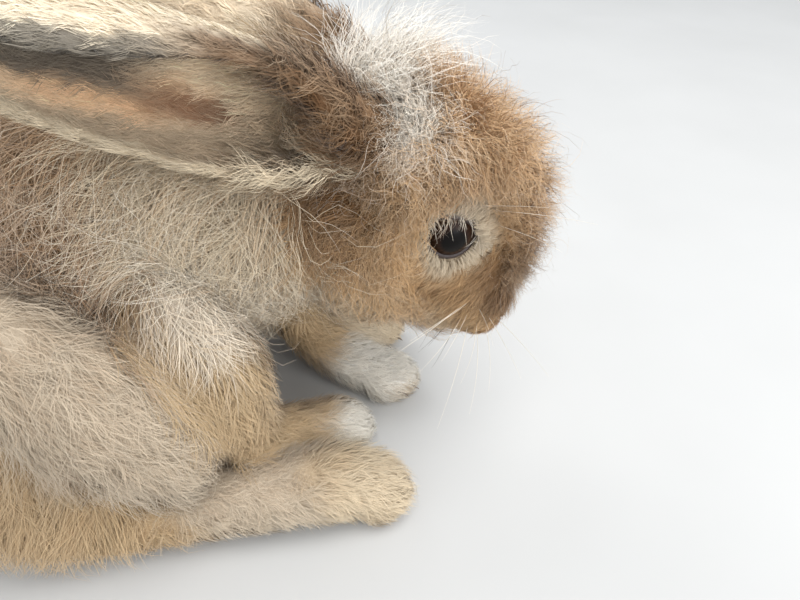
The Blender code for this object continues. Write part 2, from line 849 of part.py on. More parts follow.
def make_neck(collection):
    bm = bmesh.new()
    rows = [(*centre, wide, up, down) for centre, wide, up, down in NECK_STATIONS]
    rings = []
    for x, y, z, wide, up, down in between(rows, 4):
        rings.append(ring_points(
            Vector((x, y, z)), Vector((0.0, 1.0, 0.0)), Vector((0.1, 0.0, 1.0)).normalized(),
            wide + core_depth(NECK_COAT), up + core_depth(NECK_COAT),
            down + core_depth(THROAT_COAT)))
    join_rings(bm, rings)
    return keep_plain(blend_form(mesh_object("neck", bm, collection), *NECK_BLEND))


def make_torso(collection):
    bm = bmesh.new()
    rings = []
    for x, half_width, top, bottom in between(TORSO_STATIONS, 4):
        middle = bottom + 0.42 * (top - bottom)
        rings.append(ring_points(
            Vector((x, 0.0, middle)), Vector((0.0, 1.0, 0.0)), Vector((0.0, 0.0, 1.0)),
            half_width + core_depth(TORSO_COAT), top - middle + core_depth(TORSO_COAT),
            middle - bottom + core_depth(BELLY_COAT)))
    join_rings(bm, rings)
    return blend_form(mesh_object("torso", bm, collection), *TORSO_BLEND)


def toe_middles(side, middle, step):
    """The middles of a paw's toes, across the way the paw points, and that way."""
    heading = mirrored(side, (math.cos(TOE_HEADING), math.sin(TOE_HEADING), 0.0))
    across = Vector((-heading.y, heading.x, 0.0))
    places = []
    for i in range(TOE_COUNT):
        offset = i - (TOE_COUNT - 1) / 2.0
        back = -0.7 * step * (abs(offset) - 0.5)
        places.append(mirrored(side, middle) + across * offset * step + heading * back)
    return places, heading


def add_toes(bm, side, middle, step, half):
    for centre in toe_middles(side, middle, step)[0]:
        add_ellipsoid(bm, centre, half)


def add_claws(leg, side, middle, step, half):
    """Small claws, joined to the fronts of the toes."""
    claws = new_collection(leg.name + "_claws")
    claws.hide_render = True
    centres, heading = toe_middles(side, middle, step)
    for centre in centres:
        root = centre + heading * half.x * 0.55
        path = []
        for share in (0.0, 0.55, 1.0):
            drop = CLAW_DROP * share ** 2
            radius = CLAW_RADIUS * (1.0 - 0.8 * share)
            spot = root + heading * CLAW_LENGTH * share - Vector((0.0, 0.0, drop))
            path.append((*spot, radius, radius))
        bm = bmesh.new()
        rings = [ring[::6] for ring in tube_rings(path)]
        join_rings(bm, rings)
        mesh_object(leg.name + "_claw", bm, claws)
    return join_all(leg, claws)


def set_back(side, point):
    """A point of a foreleg, moved back on the right side by its height."""
    share = max(1.0 - point[2] / SET_BACK_BELOW, 0.0) if side < 0.0 else 0.0
    return Vector((point[0] - RIGHT_PAW_SET_BACK * share, point[1], point[2]))


def make_front_leg(name, side, collection):
    bm = bmesh.new()
    rows = []
    for centre, wide, deep, coat in FRONT_LEG:
        depth = core_depth(coat)
        rows.append((*mirrored(side, set_back(side, centre)), wide + depth, deep + depth))
    join_rings(bm, tube_rings(between(rows, 3)))
    toes = (set_back(side, FRONT_TOES[0]), *FRONT_TOES[1:])
    add_toes(bm, side, *toes)
    leg = keep_plain(blend_form(mesh_object(name, bm, collection), *FRONT_LEG_BLEND))
    add_claws(leg, side, *toes)
    return floor_cut(leg)


def make_hind_leg(name, side, collection):
    bm = bmesh.new()
    coat = Vector((1.0, 1.0, 1.0)) * core_depth(THIGH_COAT)
    for centre, half, turn in ((THIGH_CENTRE, THIGH_HALF, THIGH_TURN),
                               (KNEE_CENTRE, KNEE_HALF, KNEE_TURN), (HOCK_CENTRE, HOCK_HALF, 0.0)):
        add_ellipsoid(bm, mirrored(side, centre), half + coat, turn)
    rows = []
    for centre, wide, deep, depth in HIND_FOOT:
        rows.append((*mirrored(side, centre), wide + depth, deep + depth))
    join_rings(bm, tube_rings(between(rows, 3)))
    add_toes(bm, side, *HIND_TOES)
    leg = keep_plain(blend_form(mesh_object(name, bm, collection), *HIND_LEG_BLEND))
    add_claws(leg, side, *HIND_TOES)
    return floor_cut(leg)


def make_tail(collection):
    bm = bmesh.new()
    coat = Vector((1.0, 1.0, 1.0)) * core_depth(TAIL_COAT)
    add_ellipsoid(bm, TAIL_CENTRE, TAIL_HALF + coat, TAIL_TURN)
    return keep_plain(blend_form(mesh_object("tail", bm, collection), *TAIL_BLEND))


def whole_body(things):
    """One smooth skin over all the furry forms, for the coat to lie along."""
    bm = bmesh.new()
    for thing in things:
        bm.from_mesh(thing.data)
    return blend_form(mesh_object("body", bm, bpy.data.collections["cutters"]), *BODY_BLEND)


def add_coats(things):
    """The long wool, from the head back, each form over and clear of the others."""
    named = {thing.name: thing for thing in things}
    body = whole_body([thing for thing in things if thing.name[:3] not in ("eye", "ear")])
    ground = surface_of(body)
    bpy.data.objects.remove(body, do_unlink=True)

    def grow(name, sizes, lie, rise_at, keep):
        thing = named[name]
        others = [other for other in things if other is not thing]
        bare = thing.data.copy()
        *measures, seed = sizes
        for attempt in range(MOST_ATTEMPTS):
            add_coat(thing, ground, (*measures, seed + attempt), lie, rise_at, keep, others)
            if is_closed(thing):
                break
            thing.data = bare.copy()

    def body_rise(spot, normal):
        under = max(-normal.z, 0.0)
        return lock_rise(TORSO_COAT + (BELLY_COAT - TORSO_COAT) * under)

    def neck_rise(spot, normal):
        under = max(-normal.z, 0.0)
        return lock_rise(NECK_COAT + (THROAT_COAT - NECK_COAT) * under)

    def thigh_rise(spot, normal):
        return lock_rise(THIGH_COAT)

    def foreleg_rise(spot, normal):
        return lock_rise(SHOULDER_COAT)

    def tail_rise(spot, normal):
        return lock_rise(TAIL_COAT)

    def anywhere(spot, normal):
        return True

    def on_thigh(spot, normal):
        return spot.x < -78.0 and spot.z > 20.0 and abs(spot.y) > 45.0

    def on_foreleg(spot, normal):
        return spot.z > 42.0

    grow("head", CROWN_LOCKS, out_from_whorl, rise_on_head, on_crown)
    grow("head", CHEEK_LOCKS, back_from_nose, rise_on_head, on_cheek)
    grow("neck", NECK_LOCKS, back_and_down, neck_rise, anywhere)
    for end in ("left", "right"):
        grow("hind_leg_" + end, THIGH_LOCKS, down_the_leg, thigh_rise, on_thigh)
        grow("front_leg_" + end, FORELEG_LOCKS, down_the_leg, foreleg_rise, on_foreleg)
    grow("torso", TORSO_LOCKS, back_and_down, body_rise, anywhere)
    grow("tail", TAIL_LOCKS, up_the_tail, tail_rise, anywhere)


def set_in_metres(things):
    """Centre the rabbit's footprint on the origin, and turn millimetres into metres."""
    points = [vertex.co for thing in things for vertex in thing.data.vertices]
    low = Vector([min(point[i] for point in points) for i in range(3)])
    high = Vector([max(point[i] for point in points) for i in range(3)])
    middle = Vector(((low.x + high.x) / 2.0, (low.y + high.y) / 2.0, low.z))
    for thing in things:
        thing.data.transform(Matrix.Scale(MILLIMETRE, 4) @ Matrix.Translation(-middle))


def main():
    clear_scene()
    collection = new_collection(ANIMAL)
    cutters = new_collection("cutters")
    head = make_head(collection, cutters)
    eyes = make_eyes(collection)
    ears = [make_room(make_ear(name, side, collection), head)
            for name, side in (("ear_left", 1.0), ("ear_right", -1.0))]
    hind_legs = [make_hind_leg("hind_leg_left", 1.0, collection),
                 make_hind_leg("hind_leg_right", -1.0, collection)]
    front_legs = [make_room(make_front_leg(name, side, collection), hind)
                  for name, side, hind in (("front_leg_left", 1.0, hind_legs[0]),
                                           ("front_leg_right", -1.0, hind_legs[1]))]
    neck = make_room(make_neck(collection), head, *ears, *front_legs, *hind_legs)
    tail = make_tail(collection)
    torso = make_room(floor_cut(make_torso(collection)), neck, tail, *front_legs, *hind_legs)
    everything = [head, neck, torso, tail, *eyes, *ears, *front_legs, *hind_legs]
    add_coats(everything)
    coloured = (
        (TAN, [head, *front_legs]),
        (CREAM, [neck, torso, *ears, *hind_legs]),
        (WHITE, [tail]),
    )
    for colour, things in coloured:
        for thing in things:
            thing.data.materials.clear()
            thing.data.materials.append(new_material(thing.name + "_fur", colour, 0.85))
    for eye in eyes:
        eye.data.materials.append(new_material(eye.name + "_glass", EYE_DARK, 0.06))
        eye.data.shade_smooth()
    set_in_metres(everything)
    for spare in list(cutters.objects):
        bpy.data.objects.remove(spare, do_unlink=True)
    root = bpy.data.objects.new(ANIMAL, None)
    collection.objects.link(root)
    for thing in everything:
        thing.parent = root


main()
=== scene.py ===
# %% [markdown]
# # A crouching angora rabbit with its head bowed
#
# The model is a grown angora rabbit of medium size, tan, cream and white, in long soft wool.
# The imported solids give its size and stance, with coarse locks. This lesson dresses them: one
# smooth skin, a coat of fine tufts that follow its lie, wet dark eyes between lids, cupped
# ears, paws with claws, and the stiff hairs round the mouth and the eyes.
#
# All shapes are drawn in millimetres in the rabbit's own frame. Its origin is on the floor
# under the eyes, X runs to the nose and Y to the left, and one matrix turns them into metres.

# %% Tools and frame
import math

import bmesh
import bpy
import numpy as np
from mathutils import Matrix, Vector
from mathutils.bvhtree import BVHTree
from mathutils.kdtree import KDTree


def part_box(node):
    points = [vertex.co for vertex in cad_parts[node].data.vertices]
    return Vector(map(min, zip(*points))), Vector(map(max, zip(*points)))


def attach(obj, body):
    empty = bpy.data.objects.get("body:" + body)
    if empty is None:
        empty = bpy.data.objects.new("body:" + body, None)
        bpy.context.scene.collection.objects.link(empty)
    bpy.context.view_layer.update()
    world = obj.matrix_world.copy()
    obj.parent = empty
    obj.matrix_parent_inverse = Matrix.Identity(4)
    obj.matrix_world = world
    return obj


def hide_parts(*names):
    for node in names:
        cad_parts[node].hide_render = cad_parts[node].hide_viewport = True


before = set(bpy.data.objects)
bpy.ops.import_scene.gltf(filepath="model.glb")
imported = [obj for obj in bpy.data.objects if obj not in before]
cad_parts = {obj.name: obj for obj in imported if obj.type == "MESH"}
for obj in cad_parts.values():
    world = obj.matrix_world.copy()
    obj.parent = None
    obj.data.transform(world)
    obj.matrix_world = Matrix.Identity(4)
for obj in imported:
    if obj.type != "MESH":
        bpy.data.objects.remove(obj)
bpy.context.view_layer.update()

scene = bpy.context.scene

# %% [markdown]
# Some small steps come again and again: an object is put into the scene, a mesh is taken out
# of the tool that edits it, faces are made smooth, and a point is mirrored to the other side.

# %% Small helpers
SIDEWAYS = Vector((0.0, 1.0, 0.0))
UPWARDS = Vector((0.0, 0.0, 1.0))
BOTH_SIDES = (1.0, -1.0)
SIDES = (("left", 1.0), ("right", -1.0))


def add_object(name, data):
    thing = bpy.data.objects.new(name, data)
    scene.collection.objects.link(thing)
    return thing


def mesh_from(bm, name):
    """A new mesh out of an edited one, which is then let go."""
    mesh = bpy.data.meshes.new(name)
    bm.to_mesh(mesh)
    bm.free()
    return mesh


def smooth(mesh):
    for face in mesh.polygons:
        face.use_smooth = True


def mirrored(side, point):
    return Vector((point[0], side * point[1], point[2]))


def soft_step(low, high, value):
    """From 0 at low to 1 at high, without corners."""
    share = np.clip((value - low) / (high - low), 0.0, 1.0)
    return share * share * (3.0 - 2.0 * share)


print("detail:", "full")

# %% [markdown]
# The eyes are the only nodes whose middles the drawing knows, so they tell where the drawing
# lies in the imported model. A ball with an even number of segments and rings is the same seen
# from its two ends, so the middle of its box is its own middle.

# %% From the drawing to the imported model
EYE_HEIGHT = 105.0
EYE_DEPTH = 13.2
HEAD_PITCH = math.radians(47.0)


def box_middle(node):
    low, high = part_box(node)
    return (low + high) / 2.0


eyes_middle = (box_middle("eye_left") + box_middle("eye_right")) / 2.0
TO_MODEL = Matrix.Translation((eyes_middle.x, eyes_middle.y, 0.0)) @ Matrix.Scale(0.001, 4)
HEAD = Matrix.Translation((0.0, 0.0, EYE_HEIGHT)) @ Matrix.Rotation(HEAD_PITCH, 4, "Y")
print("the drawing's origin is at", tuple(round(v, 4) for v in eyes_middle))

# %% [markdown]
# The camera looks down on the rabbit's right side from close by, as a hand-held telephone
# does, so near things such as the right ear look large. A short lens close up gives that.

# %% Camera
CAMERA_PLACE = Vector((-21.3, -186.4, 214.6))
LOOK_DOWN = math.radians(39.0)
LOOK_ROUND = math.radians(-2.0)
camera_data = bpy.data.cameras.new("camera")
camera_data.sensor_width = 36.0
camera_data.lens = 27.9
camera_data.clip_start = 0.01
camera = add_object("camera", camera_data)
scene.camera = camera
camera.location = TO_MODEL @ CAMERA_PLACE
away = Vector((math.sin(LOOK_ROUND) * math.cos(LOOK_DOWN),
               -math.cos(LOOK_ROUND) * math.cos(LOOK_DOWN), math.sin(LOOK_DOWN)))
camera.rotation_euler = (-away).to_track_quat("-Z", "Y").to_euler()
print("camera at", tuple(round(v, 3) for v in camera.location))

# %% [markdown]
# All finishes are procedural. Most take their colour from the attribute "tone", which each
# mesh keeps with its points, and a fine noise breaks it up.

# %% Tools for finishes
def procedural(name, roughness):
    """A new material, its node tree and its main shader."""
    material = bpy.data.materials.new(name)
    material.use_nodes = True
    tree = material.node_tree
    shader = tree.nodes["Principled BSDF"]
    shader.inputs["Roughness"].default_value = roughness
    return material, tree, shader


def noise(tree, scale, detail=3.0):
    """A noise texture on a piece's own coordinates."""
    place = tree.nodes.new("ShaderNodeTexCoord")
    grain = tree.nodes.new("ShaderNodeTexNoise")
    grain.inputs["Scale"].default_value = scale
    grain.inputs["Detail"].default_value = detail
    tree.links.new(place.outputs["Object"], grain.inputs["Vector"])
    return grain


def blend_colours(tree, share, first, second):
    """A ramp from one colour to another, driven by a share."""
    ramp = tree.nodes.new("ShaderNodeValToRGB")
    ramp.color_ramp.elements[0].color = (*first, 1.0)
    ramp.color_ramp.elements[1].color = (*second, 1.0)
    tree.links.new(share, ramp.inputs["Fac"])
    return ramp


def bump(tree, shader, height, strength, distance):
    node = tree.nodes.new("ShaderNodeBump")
    node.inputs["Strength"].default_value = strength
    node.inputs["Distance"].default_value = distance
    tree.links.new(height, node.inputs["Height"])
    tree.links.new(node.outputs["Normal"], shader.inputs["Normal"])


def tone(tree):
    """The colour that a mesh keeps with its points."""
    node = tree.nodes.new("ShaderNodeAttribute")
    node.attribute_name = "tone"
    return node.outputs["Color"]


def grained_tone(tree, shader, grain, dark, strength):
    """The kept colour, darkened here and there by a grain."""
    shade = blend_colours(tree, grain.outputs["Fac"], dark, (1.0, 1.0, 1.0))
    mix = tree.nodes.new("ShaderNodeMix")
    mix.data_type = "RGBA"
    mix.blend_type = "MULTIPLY"
    mix.inputs["Factor"].default_value = strength
    tree.links.new(tone(tree), mix.inputs["A"])
    tree.links.new(shade.outputs["Color"], mix.inputs["B"])
    tree.links.new(mix.outputs["Result"], shader.inputs["Base Color"])


# %% [markdown]
# The floor is plain and pale, and the light is wide and soft: a bright sky from everywhere,
# and three large panels that give the wool its shade.

# %% Floor and light
FLOOR_REACH = 4.0
SKY_COLOUR = (0.93, 0.96, 1.0, 1.0)
SKY_STRENGTH = 0.88
# Name, place and size in metres, and watts
PANELS = (
    ("panel_over", (0.45, -0.25, 1.25), 1.0, 13.5),
    ("panel_back", (-0.7, 0.9, 0.9), 0.9, 6.0),
    ("panel_front", (0.85, -0.95, 0.5), 0.8, 8.0),
)
floor_finish, tree, shader = procedural("pale_floor", 0.8)
grain = noise(tree, 9.0)
tint = blend_colours(tree, grain.outputs["Fac"], (0.50, 0.50, 0.49), (0.56, 0.56, 0.55))
tree.links.new(tint.outputs["Color"], shader.inputs["Base Color"])
floor_mesh = bpy.data.meshes.new("floor")
floor_mesh.from_pydata([(x * FLOOR_REACH, y * FLOOR_REACH, 0.0)
                        for x, y in ((-1, -1), (1, -1), (1, 1), (-1, 1))], [], [(0, 1, 2, 3)])
floor_mesh.materials.append(floor_finish)
floor = add_object("floor", floor_mesh)

sky = bpy.data.worlds.new("sky")
scene.world = sky
sky.use_nodes = True
background = sky.node_tree.nodes["Background"]
background.inputs["Color"].default_value = SKY_COLOUR
background.inputs["Strength"].default_value = SKY_STRENGTH
scene.view_settings.view_transform = "Standard"
for name, place, size, watts in PANELS:
    light = bpy.data.lights.new(name, "AREA")
    light.shape = "RECTANGLE"
    light.size = size
    light.size_y = size
    light.energy = watts
    panel = add_object(name, light)
    panel.location = place
    panel.rotation_euler = (-Vector(place)).to_track_quat("-Z", "Y").to_euler()
print(len(PANELS), "panels of light")

# %% [markdown]
# ## The skin
#
# Under its wool the rabbit is much smaller than it looks. Each part of the body is a row of
# rounded sections or an egg, as a sculptor would block it out. The rows are short tables of
# stations, and a smooth curve through them gives the sections in between.

# %% Sections and curves
# X, half width, top and bottom. A section is widest at this share of its height
TORSO_WIDEST = 0.42
TORSO = (
    (-305.0, 9.0, 88.0, 60.0),
    (-298.0, 25.0, 108.0, 42.0),
    (-280.0, 42.0, 137.0, 26.0),
    (-255.0, 53.0, 160.0, 14.0),
    (-225.0, 57.0, 174.0, 9.0),
    (-190.0, 53.0, 174.0, 12.0),
    (-155.0, 46.0, 163.0, 22.0),
    (-125.0, 40.0, 151.0, 32.0),
    (-100.0, 34.0, 140.0, 44.0),
    (-80.0, 22.0, 124.0, 62.0),
)
# X, half width, height of the middle, and how far it rises and drops from there
NECK_UP = Vector((0.1, 0.0, 1.0)).normalized()
NECK = (
    (-102.0, 28.0, 104.0, 34.0, 34.0),
    (-86.0, 28.0, 105.0, 32.0, 37.0),
    (-70.0, 26.0, 107.0, 29.0, 36.0),
    (-54.0, 24.0, 111.0, 25.0, 34.0),
    (-38.0, 22.0, 114.0, 20.0, 30.0),
)
# In the head's own frame: X, half width, top and bottom, then the wool on crown, cheek and jaw
SKULL = (
    (-50.0, 12.0, -2.0, -16.0, 14.0, 9.0, 9.0),
    (-46.0, 17.0, 4.0, -22.0, 17.0, 11.0, 12.0),
    (-37.0, 22.0, 12.0, -30.0, 22.0, 13.0, 18.0),
    (-25.0, 24.5, 16.5, -34.5, 26.0, 13.0, 22.0),
    (-12.0, 24.5, 17.0, -35.5, 30.0, 10.0, 24.0),
    (0.0, 22.5, 15.5, -35.0, 31.0, 7.0, 22.0),
    (11.0, 20.5, 12.5, -33.5, 27.0, 6.0, 17.0),
    (22.0, 18.0, 8.5, -31.5, 20.0, 6.0, 11.0),
    (32.0, 16.5, 3.5, -29.5, 11.0, 4.5, 6.0),
    (40.0, 15.0, -2.0, -27.0, 5.0, 3.0, 3.5),
    (46.0, 11.5, -6.5, -23.5, 2.5, 2.0, 2.5),
    (49.5, 7.0, -10.5, -19.5, 1.0, 1.0, 1.0),
)


def between(stations, steps):
    """Rows of numbers on smooth curves through the stations' rows."""
    table = np.array(stations, float)
    last = len(table) - 1
    rows = []
    for i in range(last):
        a, b, c, d = (table[j] for j in (max(i - 1, 0), i, i + 1, min(i + 2, last)))
        for t in np.arange(steps) / steps:
            rows.append(0.5 * (2 * b + (c - a) * t + (2 * a - 5 * b + 4 * c - d) * t * t
                               + (3 * b - a - 3 * c + d) * t ** 3))
    rows.append(table[last])
    return rows


def join_loops(bm, loops):
    for first, second in zip(loops, loops[1:]):
        for i in range(len(first)):
            j = (i + 1) % len(first)
            bm.faces.new((first[i], first[j], second[j], second[i]))


def add_rings(bm, rings):
    """Join a row of equal rings into a closed tube."""
    loops = [[bm.verts.new(point) for point in ring] for ring in rings]
    join_loops(bm, loops)
    bm.faces.new(loops[0])
    bm.faces.new(loops[-1])


def oval(centre, side, up, half_width, rise, drop, count=28):
    """A ring of points that may be higher above its middle than below it."""
    ring = []
    for i in range(count):
        angle = math.tau * i / count
        height = rise if math.sin(angle) > 0.0 else drop
        ring.append(centre + side * half_width * math.cos(angle) + up * height * math.sin(angle))
    return ring


def add_limb(bm, rows):
    """A limb whose sections are square to its path."""
    path = between(rows, 4)
    rings = []
    for i, row in enumerate(path):
        ahead = Vector(path[min(i + 1, len(path) - 1)][:3])
        behind = Vector(path[max(i - 1, 0)][:3])
        along = (ahead - behind).normalized()
        side = along.cross(UPWARDS).normalized()
        up = side.cross(along).normalized()
        rings.append(oval(Vector(row[:3]), side, up, row[3], row[4], row[4]))
    add_rings(bm, rings)


def add_egg(bm, centre, half, turn=0.0):
    place = (Matrix.Translation(centre) @ Matrix.Rotation(turn, 4, "Y")
             @ Matrix.Diagonal((*half, 1.0)))
    bmesh.ops.create_uvsphere(bm, u_segments=28, v_segments=18, radius=1.0, matrix=place)


print(len(TORSO), "stations on the torso,", len(SKULL), "on the head")

# %% [markdown]
# The forelegs come straight down under the chest. The hind legs are folded: a broad thigh,
# the knee in front of it, the heel behind, and a long foot flat on the floor. Toes are small
# eggs set in a row, and the two middle ones stand furthest forward.

# %% Limbs and toes
# X, Y, Z, half width and half depth
FORELEG = (
    (-94.0, 36.0, 103.0, 4.0, 5.0),
    (-92.0, 37.0, 95.0, 9.0, 12.0),
    (-86.0, 38.5, 80.0, 12.0, 16.0),
    (-77.0, 39.0, 62.0, 11.5, 13.5),
    (-69.0, 37.0, 44.0, 10.0, 11.0),
    (-60.0, 32.0, 27.0, 9.0, 9.0),
    (-49.0, 26.0, 17.0, 9.0, 8.5),
    (-37.0, 20.0, 12.0, 10.0, 8.0),
    (-25.0, 15.5, 10.0, 9.5, 7.0),
    (-17.0, 12.5, 9.0, 7.0, 5.5),
)
HIND_FOOT = (
    (-140.0, 61.0, 16.0, 11.0, 11.0),
    (-120.0, 59.0, 15.0, 12.0, 11.0),
    (-90.0, 55.0, 15.0, 12.0, 10.5),
    (-62.0, 51.0, 15.5, 13.0, 10.5),
    (-42.0, 47.5, 15.0, 14.0, 10.5),
    (-29.0, 45.5, 13.0, 12.0, 9.0),
    (-21.0, 44.5, 11.5, 8.0, 6.0),
)
# Middle, half sizes and tilt in degrees: thigh, knee and hock, then the tail
HIND_LEG_EGGS = (
    ((-163.0, 50.0, 68.0), (62.0, 25.0, 52.0), 18.0),
    ((-114.0, 57.0, 73.0), (21.0, 18.0, 50.0), -33.5),
    ((-145.0, 57.0, 28.0), (34.0, 17.0, 22.0), 0.0),
)
TAIL_EGGS = (
    ((-318.0, 0.0, 78.0), (14.0, 15.0, 20.0), -24.0),
    ((-305.0, 0.0, 72.0), (10.0, 12.0, 14.0), 0.0),
)
# The middle of the row of toes, the step between two, and a toe's half sizes
FRONT_TOES = (Vector((-16.0, 13.0, 7.4)), 5.4, Vector((8.5, 3.4, 6.0)))
HIND_TOES = (Vector((-23.0, 45.0, 8.8)), 6.4, Vector((10.0, 4.2, 6.8)))
TOE_HEADING = math.radians(-12.0)


def toe_places(side, middle, step):
    """The middles of a paw's four toes, and the way the paw points."""
    heading = mirrored(side, (math.cos(TOE_HEADING), math.sin(TOE_HEADING), 0.0))
    across = Vector((-heading.y, heading.x, 0.0))
    places = []
    for i in range(4):
        offset = i - 1.5
        places.append(mirrored(side, middle) + across * offset * step
                      - heading * 0.7 * step * (abs(offset) - 0.5))
    return places, heading


def add_toes(bm, side, middle, step, half):
    for centre in toe_places(side, middle, step)[0]:
        add_egg(bm, centre, half)


def mirrored_rows(side, rows):
    return [(row[0], side * row[1], *row[2:]) for row in rows]


RIGHT_PAW_SET_BACK = 24.0
SET_BACK_BELOW = 62.0


def set_back(side, row):
    """The right paw stands further back than the left one, and the leg leans with it."""
    share = max(1.0 - row[2] / SET_BACK_BELOW, 0.0) if side < 0.0 else 0.0
    return (row[0] - RIGHT_PAW_SET_BACK * share, *row[1:])


def front_toes(side):
    return (Vector(set_back(side, FRONT_TOES[0])), *FRONT_TOES[1:])


def draw_foreleg(bm, side):
    add_limb(bm, mirrored_rows(side, [set_back(side, row) for row in FORELEG]))
    add_toes(bm, side, *front_toes(side))


def add_eggs(bm, side, eggs):
    for centre, half, tilt in eggs:
        add_egg(bm, mirrored(side, centre), half, math.radians(tilt))


def draw_hind_leg(bm, side):
    add_eggs(bm, side, HIND_LEG_EGGS)
    add_limb(bm, mirrored_rows(side, HIND_FOOT))
    add_toes(bm, side, *HIND_TOES)


def draw_torso(bm, side=0):
    rings = []
    for x, half_width, top, bottom in between(TORSO, 4):
        middle = bottom + TORSO_WIDEST * (top - bottom)
        rings.append(oval(Vector((x, 0.0, middle)), SIDEWAYS, UPWARDS, half_width,
                          top - middle, middle - bottom))
    add_rings(bm, rings)


def draw_neck(bm, side=0):
    rings = [oval(Vector((x, 0.0, z)), SIDEWAYS, NECK_UP, half_width, rise, drop)
             for x, half_width, z, rise, drop in between(NECK, 4)]
    add_rings(bm, rings)


def draw_tail(bm, side=0):
    add_eggs(bm, side, TAIL_EGGS)


# %% [markdown]
# The head is a wedge with a high round forehead. Pads on the muzzle carry the whiskers, a
# chin hangs under them, and full cheeks and brows frame the eyes. It is drawn in a frame of
# its own, which is then tipped forward, because the rabbit bows its head.

# %% Head
EYE_GAZE = Vector((0.15, 1.0, 0.12)).normalized()
LID_TILT = math.radians(23.0)


def eye_turn(side):
    """The frame of an eye in the head's: X along the slit between the lids, Z out of it."""
    gaze = mirrored(side, EYE_GAZE)
    slit = Vector((math.cos(LID_TILT), 0.0, math.sin(LID_TILT)))
    slit = (slit - gaze * slit.dot(gaze)).normalized()
    turn = Matrix((slit, gaze.cross(slit), gaze)).transposed().to_4x4()
    return Matrix.Translation((0.0, side * EYE_DEPTH, 0.0)) @ turn


def eye_reach(local):
    """Distance from the nearer eye's line of gaze, growing quickly behind the eye."""
    reaches = []
    for side in BOTH_SIDES:
        place = np.array(eye_turn(side))
        near = (local - place[:3, 3]) @ place[:3, :3]
        reaches.append(np.hypot(near[:, 0], near[:, 1]) + 1.3 * np.maximum(4.0 - near[:, 2], 0.0))
    return np.min(reaches, axis=0)


# Depths of wool in millimetres
SHORT_FUR = 2.5
FELT_FROM = 6.0


def head_coat(local, facing):
    """Depth of all the wool on the head, by station and by how far the skin leans up or down."""
    lean = facing[:, 2]
    table = np.array(SKULL)
    crown, cheek, jaw = (np.interp(local[:, 0], table[:, 0], table[:, i]) for i in (4, 5, 6))
    up = soft_step(0.0, 0.85, lean)
    down = np.maximum(-lean, 0.0)
    depth = np.where(lean > 0.0, cheek + (crown - cheek) * up, cheek + (jaw - cheek) * down)
    deep = np.maximum(depth - SHORT_FUR, 0.0)
    return SHORT_FUR + deep * soft_step(13.0, 25.0, eye_reach(local))


def felt(depth):
    """The lower part of deep wool is one dense mat, which is drawn with the skin."""
    return 0.5 * np.maximum(depth - FELT_FROM, 0.0)


# Middle and half sizes: pad of the whiskers, chin, nose, brow and cheek, on both sides
PADS = (
    ((37.5, 9.5, -18.0), (10.5, 8.0, 8.0)),
    ((28.5, 4.0, -28.0), (9.5, 7.0, 6.5)),
    ((47.5, 1.5, -12.0), (3.2, 3.8, 3.8)),
    ((1.0, 17.0, 8.5), (11.5, 5.0, 4.5)),
    ((-6.0, 17.5, -17.0), (16.0, 9.0, 15.0)),
)


def draw_head(bm, side=0):
    made = bmesh.new()
    rings = []
    for x, half_width, top, bottom in [row[:4] for row in between(SKULL, 3)]:
        half_height = (top - bottom) / 2.0
        rings.append(oval(Vector((x, 0.0, (top + bottom) / 2.0)), SIDEWAYS, UPWARDS, half_width,
                          half_height, half_height, 36))
    add_rings(made, rings)
    for end in BOTH_SIDES:
        for centre, half in PADS:
            add_egg(made, mirrored(end, centre), half)
    bmesh.ops.recalc_face_normals(made, faces=made.faces)
    places = np.array([vert.co for vert in made.verts])
    facing = np.array([vert.normal for vert in made.verts])
    rise = felt(head_coat(places, facing))[:, None] * facing
    for vert, up in zip(made.verts, rise):
        vert.co += Vector(up)
    bmesh.ops.transform(made, matrix=HEAD, verts=made.verts)
    loose = mesh_from(made, "loose")
    bm.from_mesh(loose)
    bpy.data.meshes.remove(loose)


# %% [markdown]
# Where two parts of a body meet, skin runs smoothly from one to the other. A voxel remesh
# does that: it forgets the separate shapes, keeps only what is inside any of them, and a few
# rounds of smoothing melt the creases. The same step also makes a coarser body, which later
# carries the tufts over the hollows between the parts.

# %% Blend the forms
def evaluated_mesh(thing):
    """What an object's modifiers make of it, as a mesh of its own."""
    graph = bpy.context.evaluated_depsgraph_get()
    return bpy.data.meshes.new_from_object(thing.evaluated_get(graph))


def blended(name, drawings, voxel, rounds):
    """Closed shapes run together into one smooth closed mesh, in millimetres."""
    bm = bmesh.new()
    for draw, side in drawings:
        draw(bm, side)
    bmesh.ops.recalc_face_normals(bm, faces=bm.faces)
    mesh = mesh_from(bm, name)
    thing = add_object(name, mesh)
    remesh = thing.modifiers.new("blend", "REMESH")
    remesh.mode = "VOXEL"
    remesh.voxel_size = voxel
    remesh.use_smooth_shade = True
    soften = thing.modifiers.new("soften", "SMOOTH")
    soften.iterations = rounds
    made = evaluated_mesh(thing)
    bpy.data.objects.remove(thing, do_unlink=True)
    bpy.data.meshes.remove(mesh)
    return made


FORMS = {
    "head": ((draw_head, 0),),
    "neck": ((draw_neck, 0),),
    "torso": ((draw_torso, 0),),
    "tail": ((draw_tail, 0),),
    "foreleg_left": ((draw_foreleg, 1.0),),
    "foreleg_right": ((draw_foreleg, -1.0),),
    "hind_leg_left": ((draw_hind_leg, 1.0),),
    "hind_leg_right": ((draw_hind_leg, -1.0),),
}
SPARSE_SHARE = 1.0
everything = [drawing for drawings in FORMS.values() for drawing in drawings]
skin_mesh = blended("skin", everything, 1.9, 5)
ground_mesh = blended("ground", everything, 3.2, 10)
form_meshes = {name: blended(name, drawings, 3.0, 3) for name, drawings in FORMS.items()}


def tree_of(mesh):
    return BVHTree.FromPolygons([tuple(v.co) for v in mesh.vertices],
                                [tuple(p.vertices) for p in mesh.polygons])


